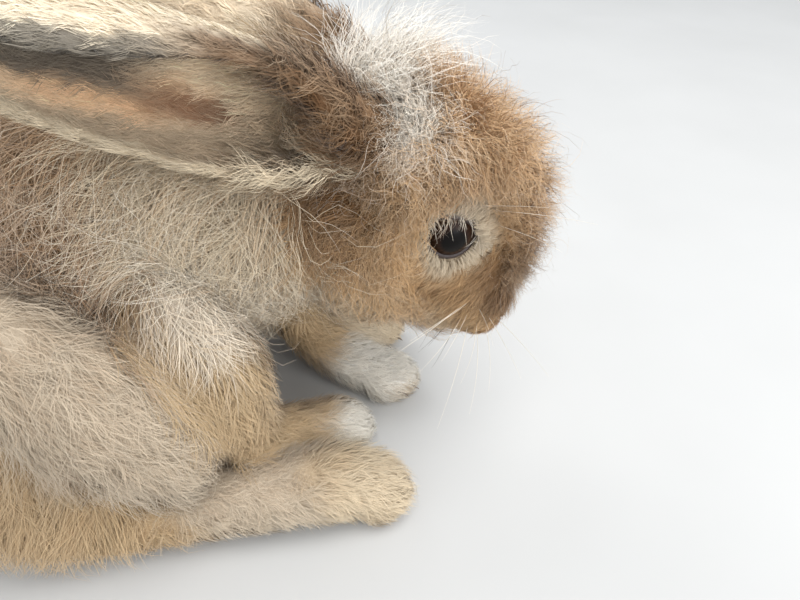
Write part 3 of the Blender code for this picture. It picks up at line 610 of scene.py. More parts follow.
ground = tree_of(ground_mesh)
form_trees = {name: tree_of(mesh) for name, mesh in form_meshes.items()}
print("skin:", len(skin_mesh.polygons), "faces; ground:", len(ground_mesh.polygons))

# %% [markdown]
# ## Ears
#
# The ears are long and cupped like a spoon, on a thick furry base, and they lie back beside
# the neck. Each is a curved sheet of stations, given a thin wall, on an egg for its base. The
# near one passes close under the camera, so the ears have finer faces than the body.

# %% Ear shells
EAR_BASE = Vector((-41.0, 17.0, 5.0))
EAR_DIRECTION = Vector((-0.86, 0.36, 0.36)).normalized()
EAR_OPENING = Vector((0.18, 0.90, -0.50))
EAR_WALL = 2.0
EAR_EGG = (16.0, 11.0, 11.0)
EAR_EGG_AHEAD = 6.0
EAR_COLUMNS = 28
# Distance from the root, radius, and how far the wall reaches round to its upper and lower rim
EAR = (
    (5.0, 7.5, 160.0, 172.0),
    (15.0, 13.0, 150.0, 165.0),
    (26.0, 15.0, 108.0, 150.0),
    (38.0, 16.5, 92.0, 135.0),
    (54.0, 17.5, 100.0, 119.0),
    (72.0, 17.5, 114.0, 102.0),
    (90.0, 15.0, 116.0, 94.0),
    (103.0, 11.0, 108.0, 91.0),
    (111.0, 7.0, 98.0, 90.0),
    (115.0, 3.5, 90.0, 90.0),
)


def ear_axes(side):
    """Where an ear is rooted, the way it points, the way its cup opens and the way across."""
    root = HEAD @ mirrored(side, EAR_BASE)
    along = mirrored(side, EAR_DIRECTION)
    opening = mirrored(side, EAR_OPENING)
    opening = (opening - along * opening.dot(along)).normalized()
    return root, along, opening, along.cross(opening)


def ear_shape(name, side, voxel):
    root, along, opening, across = ear_axes(side)
    bm = bmesh.new()
    grid = []
    for distance, radius, upper, lower in between(EAR, 4):
        row = []
        for i in range(EAR_COLUMNS + 1):
            angle = math.radians(upper * i / EAR_COLUMNS - lower * (1.0 - i / EAR_COLUMNS))
            reach = across * (-side) * math.sin(angle) - opening * math.cos(angle)
            row.append(bm.verts.new(root + along * distance + reach * radius))
        grid.append(row)
    for first, second in zip(grid, grid[1:]):
        for i in range(EAR_COLUMNS):
            bm.faces.new((first[i], first[i + 1], second[i + 1], second[i]))
    thing = add_object(name, mesh_from(bm, name))
    wall = thing.modifiers.new("wall", "SOLIDIFY")
    wall.thickness = EAR_WALL
    wall.offset = 0.0
    shell = evaluated_mesh(thing)
    bpy.data.objects.remove(thing, do_unlink=True)

    def draw(into, end):
        into.from_mesh(shell)
        turn = along.to_track_quat("X", "Z").to_matrix().to_4x4()
        place = (Matrix.Translation(root + along * EAR_EGG_AHEAD) @ turn
                 @ Matrix.Diagonal((*EAR_EGG, 1.0)))
        bmesh.ops.create_uvsphere(into, u_segments=28, v_segments=18, radius=1.0, matrix=place)

    made = blended(name, ((draw, side),), voxel, 3)
    bpy.data.meshes.remove(shell)
    return made


ear_meshes = {end: ear_shape("ear_" + end, side, 1.5) for end, side in SIDES}
ear_trees = {end: tree_of(mesh) for end, mesh in ear_meshes.items()}
print("ears:", [len(mesh.polygons) for mesh in ear_meshes.values()], "faces")

# %% [markdown]
# ## Markings
#
# The coat is a patchwork: white between the ears, gold on the forehead, brown round the roots
# of the ears, cream on neck and toes, fawn and sand on body and legs. The same function colours
# skin and wool, from soft round patches at places on the body, so that a tuft never stands on
# skin of another colour. The result is kept with the points as a colour attribute, and each
# tuft keeps the colour of its root.

# %% Markings of the coat
def linear(red, green, blue):
    """A colour as a screen shows it, 0 to 255, turned into linear light."""
    return np.array([(v / 255.0 / 12.92 if v < 10 else ((v / 255.0 + 0.055) / 1.055) ** 2.4)
                     for v in (red, green, blue)])


WHITE_WOOL = linear(244, 240, 230)
CREAM_WOOL = linear(224, 208, 180)
TAN_WOOL = linear(200, 160, 112)
SAND_WOOL = linear(204, 176, 136)
GOLD_WOOL = linear(212, 170, 122)
HONEY_WOOL = linear(166, 122, 78)
FAWN_WOOL = linear(170, 140, 106)
BROWN_WOOL = linear(112, 76, 40)
# Dark hair on the ears' upper rims, which also stands for the painted shade under the fold of the
# rim
DARK_HAIR_AND_SHADE = linear(92, 88, 82)
EAR_BACK = linear(252, 240, 216)
EAR_LINING = linear(250, 226, 192)
EAR_GLOW = linear(255, 208, 160)
EAR_BLUSH = linear(128, 78, 46)
ASH_WOOL = linear(172, 152, 128)
EYE_RING = linear(214, 200, 176)
PALE_SHIN = linear(208, 196, 178)
NOSE_SKIN = linear(150, 98, 82)

BASE_COLOURS = {
    "head": TAN_WOOL,
    "neck": CREAM_WOOL,
    "torso": FAWN_WOOL,
    "tail": WHITE_WOOL,
    "foreleg_left": SAND_WOOL,
    "foreleg_right": SAND_WOOL,
    "hind_leg_left": SAND_WOOL,
    "hind_leg_right": SAND_WOOL,
}
FORM_NAMES = list(BASE_COLOURS)
HIND_LEGS = [FORM_NAMES.index("hind_leg_left"), FORM_NAMES.index("hind_leg_right")]
# Patches: colour, strength, middle (its Y is used on both sides) and half sizes
PATCHES = (
    (CREAM_WOOL, 0.8, (-40.0, 26.0, 84.0), (26.0, 22.0, 20.0)),
    (CREAM_WOOL, 0.55, (-10.0, 20.0, 66.0), (30.0, 24.0, 14.0)),
    (BROWN_WOOL, 0.95, (-32.0, 30.0, 130.0), (17.0, 16.0, 21.0)),
    (BROWN_WOOL, 0.6, (-108.0, 40.0, 114.0), (22.0, 18.0, 22.0)),
    (GOLD_WOOL, 0.95, (10.0, 8.0, 140.0), (30.0, 30.0, 30.0)),
    (HONEY_WOOL, 0.75, (36.0, 4.0, 112.0), (18.0, 26.0, 26.0)),
    (HONEY_WOOL, 0.75, (6.0, 22.0, 124.0), (18.0, 12.0, 11.0)),
    (BROWN_WOOL, 0.85, (30.0, 12.0, 84.0), (18.0, 15.0, 20.0)),
    (WHITE_WOOL, 1.0, (-26.0, 0.0, 154.0), (17.0, 20.0, 24.0)),
    (WHITE_WOOL, 0.95, (-12.0, 15.0, 142.0), (9.0, 11.0, 14.0)),
    (WHITE_WOOL, 0.6, (-70.0, 38.0, 98.0), (20.0, 18.0, 20.0)),
    (CREAM_WOOL, 0.8, (-52.0, 0.0, 80.0), (28.0, 30.0, 34.0)),
    (WHITE_WOOL, 1.0, (-24.0, 18.0, 12.0), (30.0, 20.0, 18.0)),
    (CREAM_WOOL, 0.85, (-35.0, 48.0, 14.0), (38.0, 22.0, 16.0)),
    (CREAM_WOOL, 0.7, (-200.0, 0.0, 20.0), (90.0, 60.0, 26.0)),
    (CREAM_WOOL, 0.6, (-300.0, 0.0, 70.0), (26.0, 30.0, 34.0)),
    (WHITE_WOOL, 0.5, (-215.0, 0.0, 190.0), (60.0, 26.0, 24.0)),
)
SHIN_LINE = (np.array([-150.0, 0.0, 142.0]), np.array([-66.0, 0.0, 14.0]))


def soft_band(spots):
    """The band of short pale fur along the front edge of thigh and shin."""
    flat = spots * np.array([1.0, 0.0, 1.0])
    way = SHIN_LINE[1] - SHIN_LINE[0]
    share = np.clip((flat - SHIN_LINE[0]) @ way / (way @ way), 0.0, 1.0)
    away = np.linalg.norm(flat - SHIN_LINE[0] - share[:, None] * way, axis=1)
    return 1.0 - soft_step(13.0, 25.0, away)


def eye_middles():
    return [np.array(HEAD @ Vector((0.0, side * EYE_DEPTH, 0.0))) for side in BOTH_SIDES]


def eye_distance(places):
    """Distance of places from the nearer eye."""
    return np.min([np.linalg.norm(places - middle, axis=1) for middle in eye_middles()], axis=0)


def waves(points, scale, seed):
    """Slow, even-tempered variation over the body, from a few sine waves."""
    rng = np.random.default_rng(seed)
    total = np.zeros(len(points))
    for i in range(5):
        direction = rng.normal(size=3)
        direction /= np.linalg.norm(direction)
        total += np.sin(points @ direction * (math.tau / scale) * (0.7 + 0.25 * i)
                        + rng.uniform(0.0, math.tau))
    return total / 5.0


def coat_colours(points, labels):
    """The colour of the coat at points of the body, by the part that each belongs to."""
    colours = np.array([BASE_COLOURS[name] for name in FORM_NAMES])[labels]
    wander = waves(points, 34.0, 4)[:, None] * 0.28 + waves(points, 13.0, 5)[:, None] * 0.14
    mirror = points * np.array([1.0, 0.0, 1.0]) + np.abs(points) * np.array([0.0, 1.0, 0.0])
    for colour, strength, middle, half in PATCHES:
        reach = np.linalg.norm((mirror - middle) / half, axis=1)[:, None]
        share = strength * (1.0 - soft_step(0.55, 1.25, reach + wander))
        colours = colours * (1.0 - share) + colour * share
    band = 0.75 * (soft_band(points) * np.isin(labels, HIND_LEGS))[:, None]
    colours = colours * (1.0 - band) + PALE_SHIN * band
    ring = 0.85 * (1.0 - soft_step(12.0, 17.5, eye_distance(points)[:, None] + 2.0 * wander))
    return colours * (1.0 - ring) + EYE_RING * ring


def ear_colours(points, side):
    """Colours of an ear, by distance from its root, side of the wall and place round the cup."""
    root, along, opening, across = (np.array(v) for v in ear_axes(side))
    rel = points - root
    distance = rel @ along
    out = rel @ opening
    high = rel @ across * (-side)
    table = np.array(EAR)
    radius, upper, lower = (np.interp(distance, table[:, 0], table[:, i]) for i in (1, 2, 3))
    inner = soft_step(-0.4, 0.6, radius - np.hypot(out, high))
    turn = np.degrees(np.arctan2(high, -out)) + 6.0 * waves(points, 16.0, 8)
    colours = np.repeat(EAR_BACK[None], len(points), axis=0)

    def paint(colour, share):
        nonlocal colours
        share = np.clip(share, 0.0, 1.0).reshape(-1, 1)
        colours = colours * (1.0 - share) + colour * share

    def spot(far, angle, long, wide):
        return 1.0 - soft_step(0.4, 1.25, np.hypot((distance - far) / long, (turn - angle) / wide))

    paint(TAN_WOOL, (0.15 + 0.3 * waves(points, 30.0, 9)) * (1.0 - inner))
    paint(TAN_WOOL, 0.6 * soft_step(40.0, 12.0, distance))
    paint(EAR_LINING, inner * 0.85)
    paint(EAR_GLOW, inner * 0.8 * spot(66.0, -50.0, 30.0, 30.0))
    paint(EAR_BLUSH, inner * 0.8 * spot(43.0, -54.0, 19.0, 17.0))
    paint(ASH_WOOL, inner * 0.7 * soft_step(-64.0, -84.0, turn))
    tip = soft_step(46.0, 66.0, distance)
    rim = np.abs(turn - upper)
    # Painted shade on the lining under the fold of the upper rim, and dark hair along the rim
    # itself, towards the tip
    paint(DARK_HAIR_AND_SHADE, inner * 0.92 * soft_step(-62.0, -42.0, turn) * tip)
    paint(DARK_HAIR_AND_SHADE, 0.85 * (1.0 - soft_step(7.0, 16.0, rim)) * tip)
    paint(BROWN_WOOL, 0.9 * (1.0 - soft_step(14.0, 38.0, rim)) * (1.0 - tip))
    paint(BROWN_WOOL, 0.85 * soft_step(38.0, 18.0, distance) * soft_step(-4.0, 6.0, high))
    paint(CREAM_WOOL, 0.9 * (1.0 - soft_step(8.0, 16.0, np.abs(turn + lower))))
    return colours


def nearest_labels(points):
    """Which part of the body each point belongs to."""
    total = sum(len(mesh.vertices) for mesh in form_meshes.values())
    near = KDTree(total)
    owners = []
    for label, name in enumerate(FORM_NAMES):
        for vertex in form_meshes[name].vertices:
            near.insert(vertex.co, len(owners))
            owners.append(label)
    near.balance()
    return np.array([owners[near.find(point)[1]] for point in points])


def points_of(mesh):
    flat = np.empty(len(mesh.vertices) * 3, np.float32)
    mesh.vertices.foreach_get("co", flat)
    return flat.reshape(-1, 3).astype(float)


def set_tones(mesh, colours):
    rows = np.c_[colours, np.ones(len(colours))].astype(np.float32)
    mesh.attributes.new("tone", "FLOAT_COLOR", "POINT").data.foreach_set("color", rows.ravel())


print(len(PATCHES), "patches of colour")

# %% [markdown]
# The eyeballs need hollows, so the skin's points in front of each are pushed back into a
# bowl. The eyeball then fills the bowl, and the lids cover its edge. On the muzzle the faces
# are cut finer, and the mouth and the nostrils are pressed in along lines.

# %% Sockets, mouth and nostrils
EYE_RADIUS = 9.6
LID_LENGTH = 19.0
LID_HEIGHT = 14.4
SOCKET_FLOOR = 2.5
HEAD_INVERSE = np.array(HEAD.inverted())
HEAD_TURN = np.array(HEAD.to_3x3())


def head_frame(places, normals):
    """The same places and normals in the head's own frame."""
    local = places @ HEAD_INVERSE[:3, :3].T + HEAD_INVERSE[:3, 3]
    return local, normals @ HEAD_TURN


def eye_place(side):
    return HEAD @ eye_turn(side)


def sink_sockets(mesh):
    points = points_of(mesh)
    for side in BOTH_SIDES:
        place = np.array(eye_place(side))
        local = (points - place[:3, 3]) @ place[:3, :3]
        reach = np.hypot(local[:, 0], local[:, 1])
        front = (local[:, 2] > 0.0) & (reach < 14.0)
        bowl = SOCKET_FLOOR + (local[:, 2] - SOCKET_FLOOR) * soft_step(8.6, 13.5, reach)
        local[:, 2] = np.where(front, np.minimum(local[:, 2], bowl), local[:, 2])
        points = np.where(front[:, None], local @ place[:3, :3].T + place[:3, 3], points)
    mesh.vertices.foreach_set("co", points.astype(np.float32).ravel())


def both(line):
    """A line and its mirror image."""
    return line, tuple((x, -y, z) for x, y, z in line)


MOUTH_LINES = (
    ((48.5, 0.0, -14.0), (48.0, 0.0, -18.0), (45.5, 0.0, -22.5), (43.0, 0.0, -25.0)),
    *both(((45.0, 0.6, -24.0), (41.5, 6.0, -25.5), (34.0, 12.0, -27.0), (27.0, 14.5, -28.0))),
)
NOSTRILS = both(((50.0, 1.0, -13.5), (49.5, 3.5, -11.5), (48.0, 5.8, -9.5)))
# Lines, how deep they are pressed in, and how wide they are
PRESSED = ((MOUTH_LINES, 1.6, 0.8), (NOSTRILS, 2.2, 0.95))


def line_distance(points, lines):
    """Distance of points, in the head's frame, from the nearest of some broken lines."""
    best = np.full(len(points), 1e9)
    for line in lines:
        for start, end in zip(line, line[1:]):
            start = np.array(start)
            way = np.array(end) - start
            share = np.clip(((points - start) @ way) / (way @ way), 0.0, 1.0)
            best = np.minimum(best, np.linalg.norm(points - start - share[:, None] * way, axis=1))
    return best


def refine_muzzle(mesh):
    """Cut the faces round mouth and nose finer, twice."""
    bm = bmesh.new()
    bm.from_mesh(mesh)
    inverse = HEAD.inverted()
    for cut in range(2):
        edges = set()
        for face in bm.faces:
            place = inverse @ face.calc_center_median()
            if place.x > 36.0 and abs(place.y) < 20.0 and -34.0 < place.z < 2.0:
                edges.update(face.edges)
        bmesh.ops.subdivide_edges(bm, edges=list(edges), cuts=1, use_grid_fill=True)
    bm.to_mesh(mesh)
    bm.free()


def sink_lines(mesh):
    """Press the mouth, the cleft of the lip and the nostrils into the skin."""
    points = points_of(mesh)
    local = head_frame(points, points)[0]
    normals = np.empty(len(mesh.vertices) * 3, np.float32)
    mesh.vertices.foreach_get("normal", normals)
    normals = normals.reshape(-1, 3)
    for lines, deep, wide in PRESSED:
        away = line_distance(local, lines)
        points = points - normals * (deep * np.exp(-(away / wide) ** 2))[:, None]
    mesh.vertices.foreach_set("co", points.astype(np.float32).ravel())
    return line_distance(local, MOUTH_LINES + NOSTRILS)


refine_muzzle(skin_mesh)
sink_sockets(skin_mesh)
bare = sink_lines(skin_mesh)
print("skin without ears:", len(skin_mesh.polygons), "faces")

# %% [markdown]
# The ears join the skin here. Its colour is a little darker than the wool's, so that the
# ground shows as shade between the tufts, and the lips and nostrils are bare.

# %% Finish the skin
SKIN_SHADE = 0.9
skin_points = points_of(skin_mesh)
skin_labels = nearest_labels(skin_points)
bm = bmesh.new()
bm.from_mesh(skin_mesh)
for mesh in ear_meshes.values():
    bm.from_mesh(mesh)
bm.to_mesh(skin_mesh)
bm.free()
lips = 0.85 * (1.0 - soft_step(0.9, 2.4, bare))[:, None]
tones = [coat_colours(skin_points, skin_labels) * (1.0 - lips) + NOSE_SKIN * lips]
tones += [ear_colours(points_of(ear_meshes[end]), side) for end, side in SIDES]
set_tones(skin_mesh, np.concatenate(tones) * SKIN_SHADE)
skin_mesh.transform(TO_MODEL)
smooth(skin_mesh)
skin = add_object("skin", skin_mesh)

skin_finish, tree, shader = procedural("felted_underfur", 0.85)
grain = noise(tree, 900.0, 4.0)
grained_tone(tree, shader, grain, (0.55, 0.5, 0.45), 0.8)
bump(tree, shader, grain.outputs["Fac"], 0.6, 0.0012)
skin.data.materials.clear()
skin.data.materials.append(skin_finish)
print("skin with ears:", len(skin.data.polygons), "faces")

# %% [markdown]
# ## The coat
#
# Angora wool grows in tufts: some ten fine hairs rise together, lean along the lie of the
# coat, part a little and curl towards their tips. Blender's hair would draw them, but only
# real faces survive outside it, so each hair here is a thin flat blade that tapers to a point.
#
# A tuft starts as a track that walks over the ground along the lie. Its hairs follow the
# track and lift off it by the depth of the coat. All hairs of a group are worked out at once
# as arrays of numbers, which is quick.

# %% Spots and tracks
BURIED_BELOW = 0.3


def even_spots(mesh, per_cm2, seed):
    """Spots and normals at random, even over a mesh."""
    rng = np.random.default_rng(seed)
    mesh.calc_loop_triangles()
    corners = np.empty(len(mesh.loop_triangles) * 3, np.int32)
    mesh.loop_triangles.foreach_get("vertices", corners)
    a, b, c = (points_of(mesh)[corners.reshape(-1, 3)[:, i]] for i in range(3))
    square = np.cross(b - a, c - a)
    area = np.linalg.norm(square, axis=1) / 2.0
    count = int(area.sum() / 100.0 * per_cm2)
    pick = np.sort(rng.choice(len(area), count, p=area / area.sum()))
    u = rng.random((count, 1))
    v = rng.random((count, 1))
    fold = u + v > 1.0
    u = np.where(fold, 1.0 - u, u)
    v = np.where(fold, 1.0 - v, v)
    spots = a[pick] + (b[pick] - a[pick]) * u + (c[pick] - a[pick]) * v
    return spots, square[pick] / np.linalg.norm(square[pick], axis=1)[:, None]


def outside(spots, parts):
    """Which spots aren't buried in these parts of the body."""
    free = np.ones(len(spots), bool)
    for part in parts:
        for i in np.flatnonzero(free):
            near, facing, index, distance = form_trees[part].find_nearest(spots[i])
            free[i] = (Vector(spots[i]) - near).dot(facing) >= BURIED_BELOW
    return free


def nearest_on(tree, spots):
    places = np.empty_like(spots)
    facings = np.empty_like(spots)
    for i, spot in enumerate(spots):
        place, facing, index, distance = tree.find_nearest(spot)
        places[i] = place
        facings[i] = facing
    return places, facings


def unit(rows):
    return rows / np.maximum(np.linalg.norm(rows, axis=-1, keepdims=True), 1e-9)


def walk(tree, spots, lie, lengths, swing, curl, steps):
    """Tracks over the ground along the lie of the coat, with the ground's normals."""
    places, normals = nearest_on(tree, spots)
    track = [places]
    facings = [normals]
    heading = np.zeros_like(places)
    for step in range(steps):
        turn = (swing + curl * step / steps)[:, None]
        ahead = lie(places, normals)
        ahead = unit(ahead - normals * (ahead * normals).sum(1, keepdims=True))
        ahead = ahead * np.cos(turn) + np.cross(normals, ahead) * np.sin(turn)
        ahead = ahead + heading
        ahead = unit(ahead - normals * (ahead * normals).sum(1, keepdims=True))
        heading = ahead
        places, facing = nearest_on(tree, places + ahead * (lengths / steps)[:, None])
        normals = unit(normals * 0.6 + facing * 0.4)
        track.append(places)
        facings.append(normals)
    return np.stack(track, 1), np.stack(facings, 1)


# %% [markdown]
# The unwrap of a coarse copy of the whole skin tells each tuft where its small patch of the
# texture map lies, so that an exported coat is painted tuft by tuft.

# %% Map for the tufts
PATCH = 0.003
MAP_DETAIL = 0.12


def unwrapped_copy():
    """A coarse copy of body and ears, laid out flat."""
    bm = bmesh.new()
    bm.from_mesh(ground_mesh)
    for mesh in ear_meshes.values():
        bm.from_mesh(mesh)
    thing = add_object("map", mesh_from(bm, "map"))
    thin = thing.modifiers.new("thin", "DECIMATE")
    thin.ratio = MAP_DETAIL
    made = evaluated_mesh(thing)
    thing.modifiers.clear()
    thing.data = made
    bpy.context.view_layer.objects.active = thing
    for other in list(bpy.context.selected_objects):
        other.select_set(False)
    thing.select_set(True)
    bpy.ops.object.mode_set(mode="EDIT")
    bpy.ops.mesh.select_all(action="SELECT")
    bpy.ops.uv.smart_project(angle_limit=math.radians(66.0), island_margin=0.003)
    bpy.ops.object.mode_set(mode="OBJECT")
    return thing


map_thing = unwrapped_copy()
map_mesh = map_thing.data
near_map = KDTree(len(map_mesh.polygons))
map_places = []
uvs = map_mesh.uv_layers.active.data
for face in map_mesh.polygons:
    near_map.insert(face.center, face.index)
    corner = [uvs[i].uv for i in face.loop_indices]
    map_places.append(sum(corner, Vector((0.0, 0.0))) / len(corner))
near_map.balance()
bpy.data.objects.remove(map_thing, do_unlink=True)


def map_spots(spots):
    return np.array([map_places[near_map.find(spot)[1]] for spot in spots])


print(len(map_places), "faces on the map")

# %% [markdown]
# One function grows every kind of tuft. It takes tracks, and a small table of sizes for this
# kind of wool: how many hairs, how wide the tuft is at its root, how far the tips draw
# together, how much they curl, and how thick a hair is.

# %% Grow hairs on tracks
def arrays_to_mesh(name, points, quads, triangles):
    mesh = bpy.data.meshes.new(name)
    mesh.vertices.add(len(points))
    mesh.vertices.foreach_set("co", points.astype(np.float32).ravel())
    corners = np.concatenate([quads.ravel(), triangles.ravel()]).astype(np.int32)
    mesh.loops.add(len(corners))
    mesh.loops.foreach_set("vertex_index", corners)
    sizes = np.concatenate([np.full(len(quads), 4), np.full(len(triangles), 3)])
    starts = np.concatenate([[0], np.cumsum(sizes)[:-1]]).astype(np.int32)
    mesh.polygons.add(len(sizes))
    mesh.polygons.foreach_set("loop_start", starts)
    mesh.polygons.foreach_set("use_smooth", np.ones(len(sizes), bool))
    mesh.update(calc_edges=True)
    return mesh, corners


def hairs(tracks, facings, wool, seed):
    """Middles of all hairs, with the side and normal of each: lock, hair, station, XYZ."""
    rng = np.random.default_rng(seed)
    count, steps = tracks.shape[0], tracks.shape[1] - 1
    many = wool["hairs"]
    share = np.linspace(0.0, 1.0, wool["stations"])
    reach = rng.uniform(*wool["reach"], (count, many, 1)) * share * steps
    low = np.minimum(reach.astype(int), steps - 1)
    part = (reach - low)[..., None]
    lock = np.arange(count)[:, None, None]
    middle = tracks[lock, low] * (1.0 - part) + tracks[lock, low + 1] * part
    up = unit(facings[lock, low] * (1.0 - part) + facings[lock, low + 1] * part)
    ahead = unit(tracks[lock, low + 1] - tracks[lock, low])
    side = unit(np.cross(up, ahead))
    angle = rng.uniform(0.0, math.tau, (count, many, 1))
    spread = wool["root"] * np.sqrt(rng.random((count, many, 1)))
    gather = 1.0 - rng.uniform(*wool["gather"], (count, many, 1)) * share
    stray = rng.normal(0.0, wool["stray"], (count, many, 1)) * share ** 1.5
    lift = (rng.uniform(*wool["lift"], (count, many, 1)) * wool["depth"][:, None, None]
            * share ** wool["rise_power"])
    turns = rng.uniform(*wool["turns"], (count, many, 1)) * math.tau
    start = rng.uniform(0.0, math.tau, (count, 1, 1)) + rng.normal(0.0, 0.8, (count, many, 1))
    size = rng.uniform(*wool["curl"], (count, many, 1)) * np.minimum(share * 1.6, 1.0)
    sideways = spread * np.cos(angle) * gather + stray + size * np.sin(turns * share + start)
    upwards = lift + size * 0.7 * np.cos(turns * share + start) - wool["sink"] * (1.0 - share) ** 3
    forward = spread * np.sin(angle) * (1.0 - 0.7 * share)
    return (middle + side * sideways[..., None] + up * upwards[..., None]
            + ahead * forward[..., None], side, up)


def blades(middles, side, up, wool, rng):
    """Thin tapered blades along the hairs' middles, turned at random, each ending in a point."""
    count, many, stations, _ = middles.shape
    share = np.linspace(0.0, 1.0, stations)
    half = wool["width"] / 2.0 * (1.0 - share[:-1] ** 1.6 * 0.7) * wool["coarse"][:, None, None]
    half = half[..., None]
    turn = rng.normal(0.0, 0.5, (count, many, 1, 1))
    across = side * np.cos(turn) + up * np.sin(turn)
    edges = np.stack([middles[:, :, :-1] + across[:, :, :-1] * half,
                      middles[:, :, :-1] - across[:, :, :-1] * half], 3)
    body = edges.reshape(count * many, (stations - 1) * 2, 3)
    tips = middles[:, :, -1].reshape(count * many, 1, 3)
    points = np.concatenate([body, tips], 1)
    each = points.shape[1]
    quads = [(i * 2, i * 2 + 1, i * 2 + 3, i * 2 + 2) for i in range(stations - 2)]
    last = (stations - 2) * 2
    offset = (np.arange(count * many) * each)[:, None, None]
    outward = np.stack([unit(up[:, :, :-1] + across[:, :, :-1] * 0.45),
                        unit(up[:, :, :-1] - across[:, :, :-1] * 0.45)], 3)
    outward = np.concatenate([outward.reshape(count * many, (stations - 1) * 2, 3),
                              up[:, :, -1].reshape(count * many, 1, 3)], 1)
    return (points.reshape(-1, 3), (np.array(quads) + offset).reshape(-1, 4),
            (np.array([(last, last + 1, each - 1)]) + offset).reshape(-1, 3),
            outward.reshape(-1, 3))


# %% [markdown]
# Each tuft has the colour of its root, a little lighter or darker than its neighbours. Its
# hairs are darker at the root, where shade is painted deep in the coat, and paler at the tip,
# and some take on a second colour. On the map a tuft has a small patch, in which its hairs
# stand side by side.

# %% Colours and pieces
MOST_TRIANGLES = 190000
LOWEST_HAIR = 0.6
coat_pieces = []


def tuft_tones(colours, wool, along, rng):
    """Colours of all points, from the colours of the tufts."""
    count, many = len(colours), wool["hairs"]
    light = rng.normal(1.0, wool["mottle"], (count, 1)) * rng.normal(1.0, 0.07, (count, many))
    some = wool["accent_share"] * rng.random((count, 1)) ** 3
    mixed = colours * (1.0 - some) + wool["accent"] * some
    base = mixed[:, None, :] * np.clip(light, 0.5, 1.35)[..., None]
    # Painted shade: each hair is darkened towards its root, deep in the coat
    fade = wool["root_shade"] + (1.0 - wool["root_shade"]) * along ** 0.7
    tones = base.reshape(count * many, 1, 3) * fade[None, :, None]
    share = (wool["tip_share"] * along ** 3)[None, :, None]
    tones = tones * (1.0 - share) + wool["tip"] * share
    return np.clip(tones, 0.0, 1.0).reshape(-1, 3)


def tuft_map(places, many, along):
    """Places of all points on the map, from the places of the tufts."""
    count = len(places) * many
    across = np.r_[np.tile(np.array([0.1, 0.9]), len(along) // 2), 0.5]
    u = (np.arange(count) % many)[:, None] / many + across[None] / many
    v = np.repeat(along[None], count, axis=0)
    spots = np.stack([u, v], -1).reshape(-1, 2) * PATCH
    return spots + (np.repeat(places, many * len(along), axis=0) - PATCH / 2.0)


def grow(name, tracks, facings, colours, wool, seed):
    """Turn tracks into pieces of coat with colours and a map."""
    rng = np.random.default_rng(seed + 1)
    many, stations = wool["hairs"], wool["stations"]
    per_tuft = ((stations - 2) * 2 + 1) * many
    pieces = math.ceil(len(tracks) / (MOST_TRIANGLES // per_tuft))
    places = map_spots(tracks[:, 0])
    along = np.r_[np.repeat(np.linspace(0.0, 1.0, stations)[:-1], 2), 1.0]
    for piece in range(pieces):
        pick = np.arange(piece, len(tracks), pieces)
        part = dict(wool, depth=wool["depth"][pick], coarse=wool["coarse"][pick])
        middles, side, up = hairs(tracks[pick], facings[pick], part, seed + 7 * piece)
        middles[..., 2] = np.maximum(middles[..., 2], LOWEST_HAIR)
        points, quads, triangles, outward = blades(middles, side, up, part, rng)
        mesh, corners = arrays_to_mesh(name, points, quads, triangles)
        mesh.transform(TO_MODEL)
        mesh.normals_split_custom_set_from_vertices(outward)
        set_tones(mesh, tuft_tones(colours[pick], part, along, rng))
        corner_uv = tuft_map(places[pick], many, along)[corners]
        layer = mesh.uv_layers.new(name="OFBake")
        layer.data.foreach_set("uv", corner_uv.astype(np.float32).ravel())
        coat_pieces.append(add_object(f"{name}_{piece + 1}" if pieces > 1 else name, mesh))
    print(name, len(tracks), "tufts,", len(tracks) * per_tuft, "triangles,", pieces, "pieces")


# %% [markdown]
# The lie of the coat is a direction at each place: back along the body and down its sides,
# down the legs, out every way from a whorl between the ears, back from the nose, up and over
# the tail. Depth and length change over the head, as its stations say.

# %% Lie, depth and length
WHORL = np.array(HEAD @ Vector((-24.0, 0.0, 40.0)))


def steady(*way):
    """The same lie everywhere."""
    return lambda places, normals: np.repeat([way], len(places), axis=0)


def back_and_down(places, normals):
    fall = 0.25 + 1.1 * np.abs(normals[:, 1]) + 0.9 * np.maximum(-normals[:, 0], 0.0)
    return np.stack([-np.ones(len(places)), np.zeros(len(places)), -fall], 1)


def down_the_leg(places, normals):
    """Down and back, but along the shin where the short pale fur lies."""
    shin = soft_band(places)[:, None]
    return np.array([-0.45, 0.0, -1.0]) * (1.0 - shin) + np.array([0.55, 0.0, -0.83]) * shin


def down_the_arm(places, normals):
    forward = soft_step(40.0, 15.0, places[:, 2])
    return np.stack([0.1 + 1.2 * forward, np.zeros(len(places)), -1.0 + 0.8 * forward], 1)


def up_the_tail(places, normals):
    lie = np.repeat([[-0.45, 0.0, 0.9]], len(places), axis=0)
    lie[:, 1] = 0.25 * normals[:, 1]
    return lie


def out_from_whorl(places, normals):
    return places - WHORL


back_from_nose = steady(*(HEAD_TURN @ np.array([-1.0, 0.0, 0.0]) + np.array([0.0, 0.0, -1.25])))


def over_the_face(places, normals):
    """Short fur: back from the nose, and away from the eyes near them."""
    lie = np.repeat((HEAD_TURN @ np.array([-1.0, 0.0, -0.15]))[None], len(places), axis=0)
    for middle in eye_middles():
        away = places - middle
        near = 1.0 - soft_step(12.0, 24.0, np.linalg.norm(away, axis=1))[:, None]
        lie = lie * (1.0 - near) + unit(away) * near
    return lie


def head_depth(places, normals):
    """Depth of the loose wool over the mat."""
    depth = head_coat(*head_frame(places, normals))
    return depth - felt(depth)


print("the whorl is at", WHORL.round(1))

# %% [markdown]
# Each kind of wool is a table of sizes, from a plain kind with some of them changed. Tufts
# stand close together where the camera is near, and elsewhere they are fewer and coarser.

# %% Kinds of wool and tufts
def off_the_eyes(tracks, clearance):
    """Which tracks never come close to an eye."""
    count, steps = tracks.shape[:2]
    away = eye_distance(tracks.reshape(-1, 3)).reshape(count, steps)
    return away.min(axis=1) > clearance


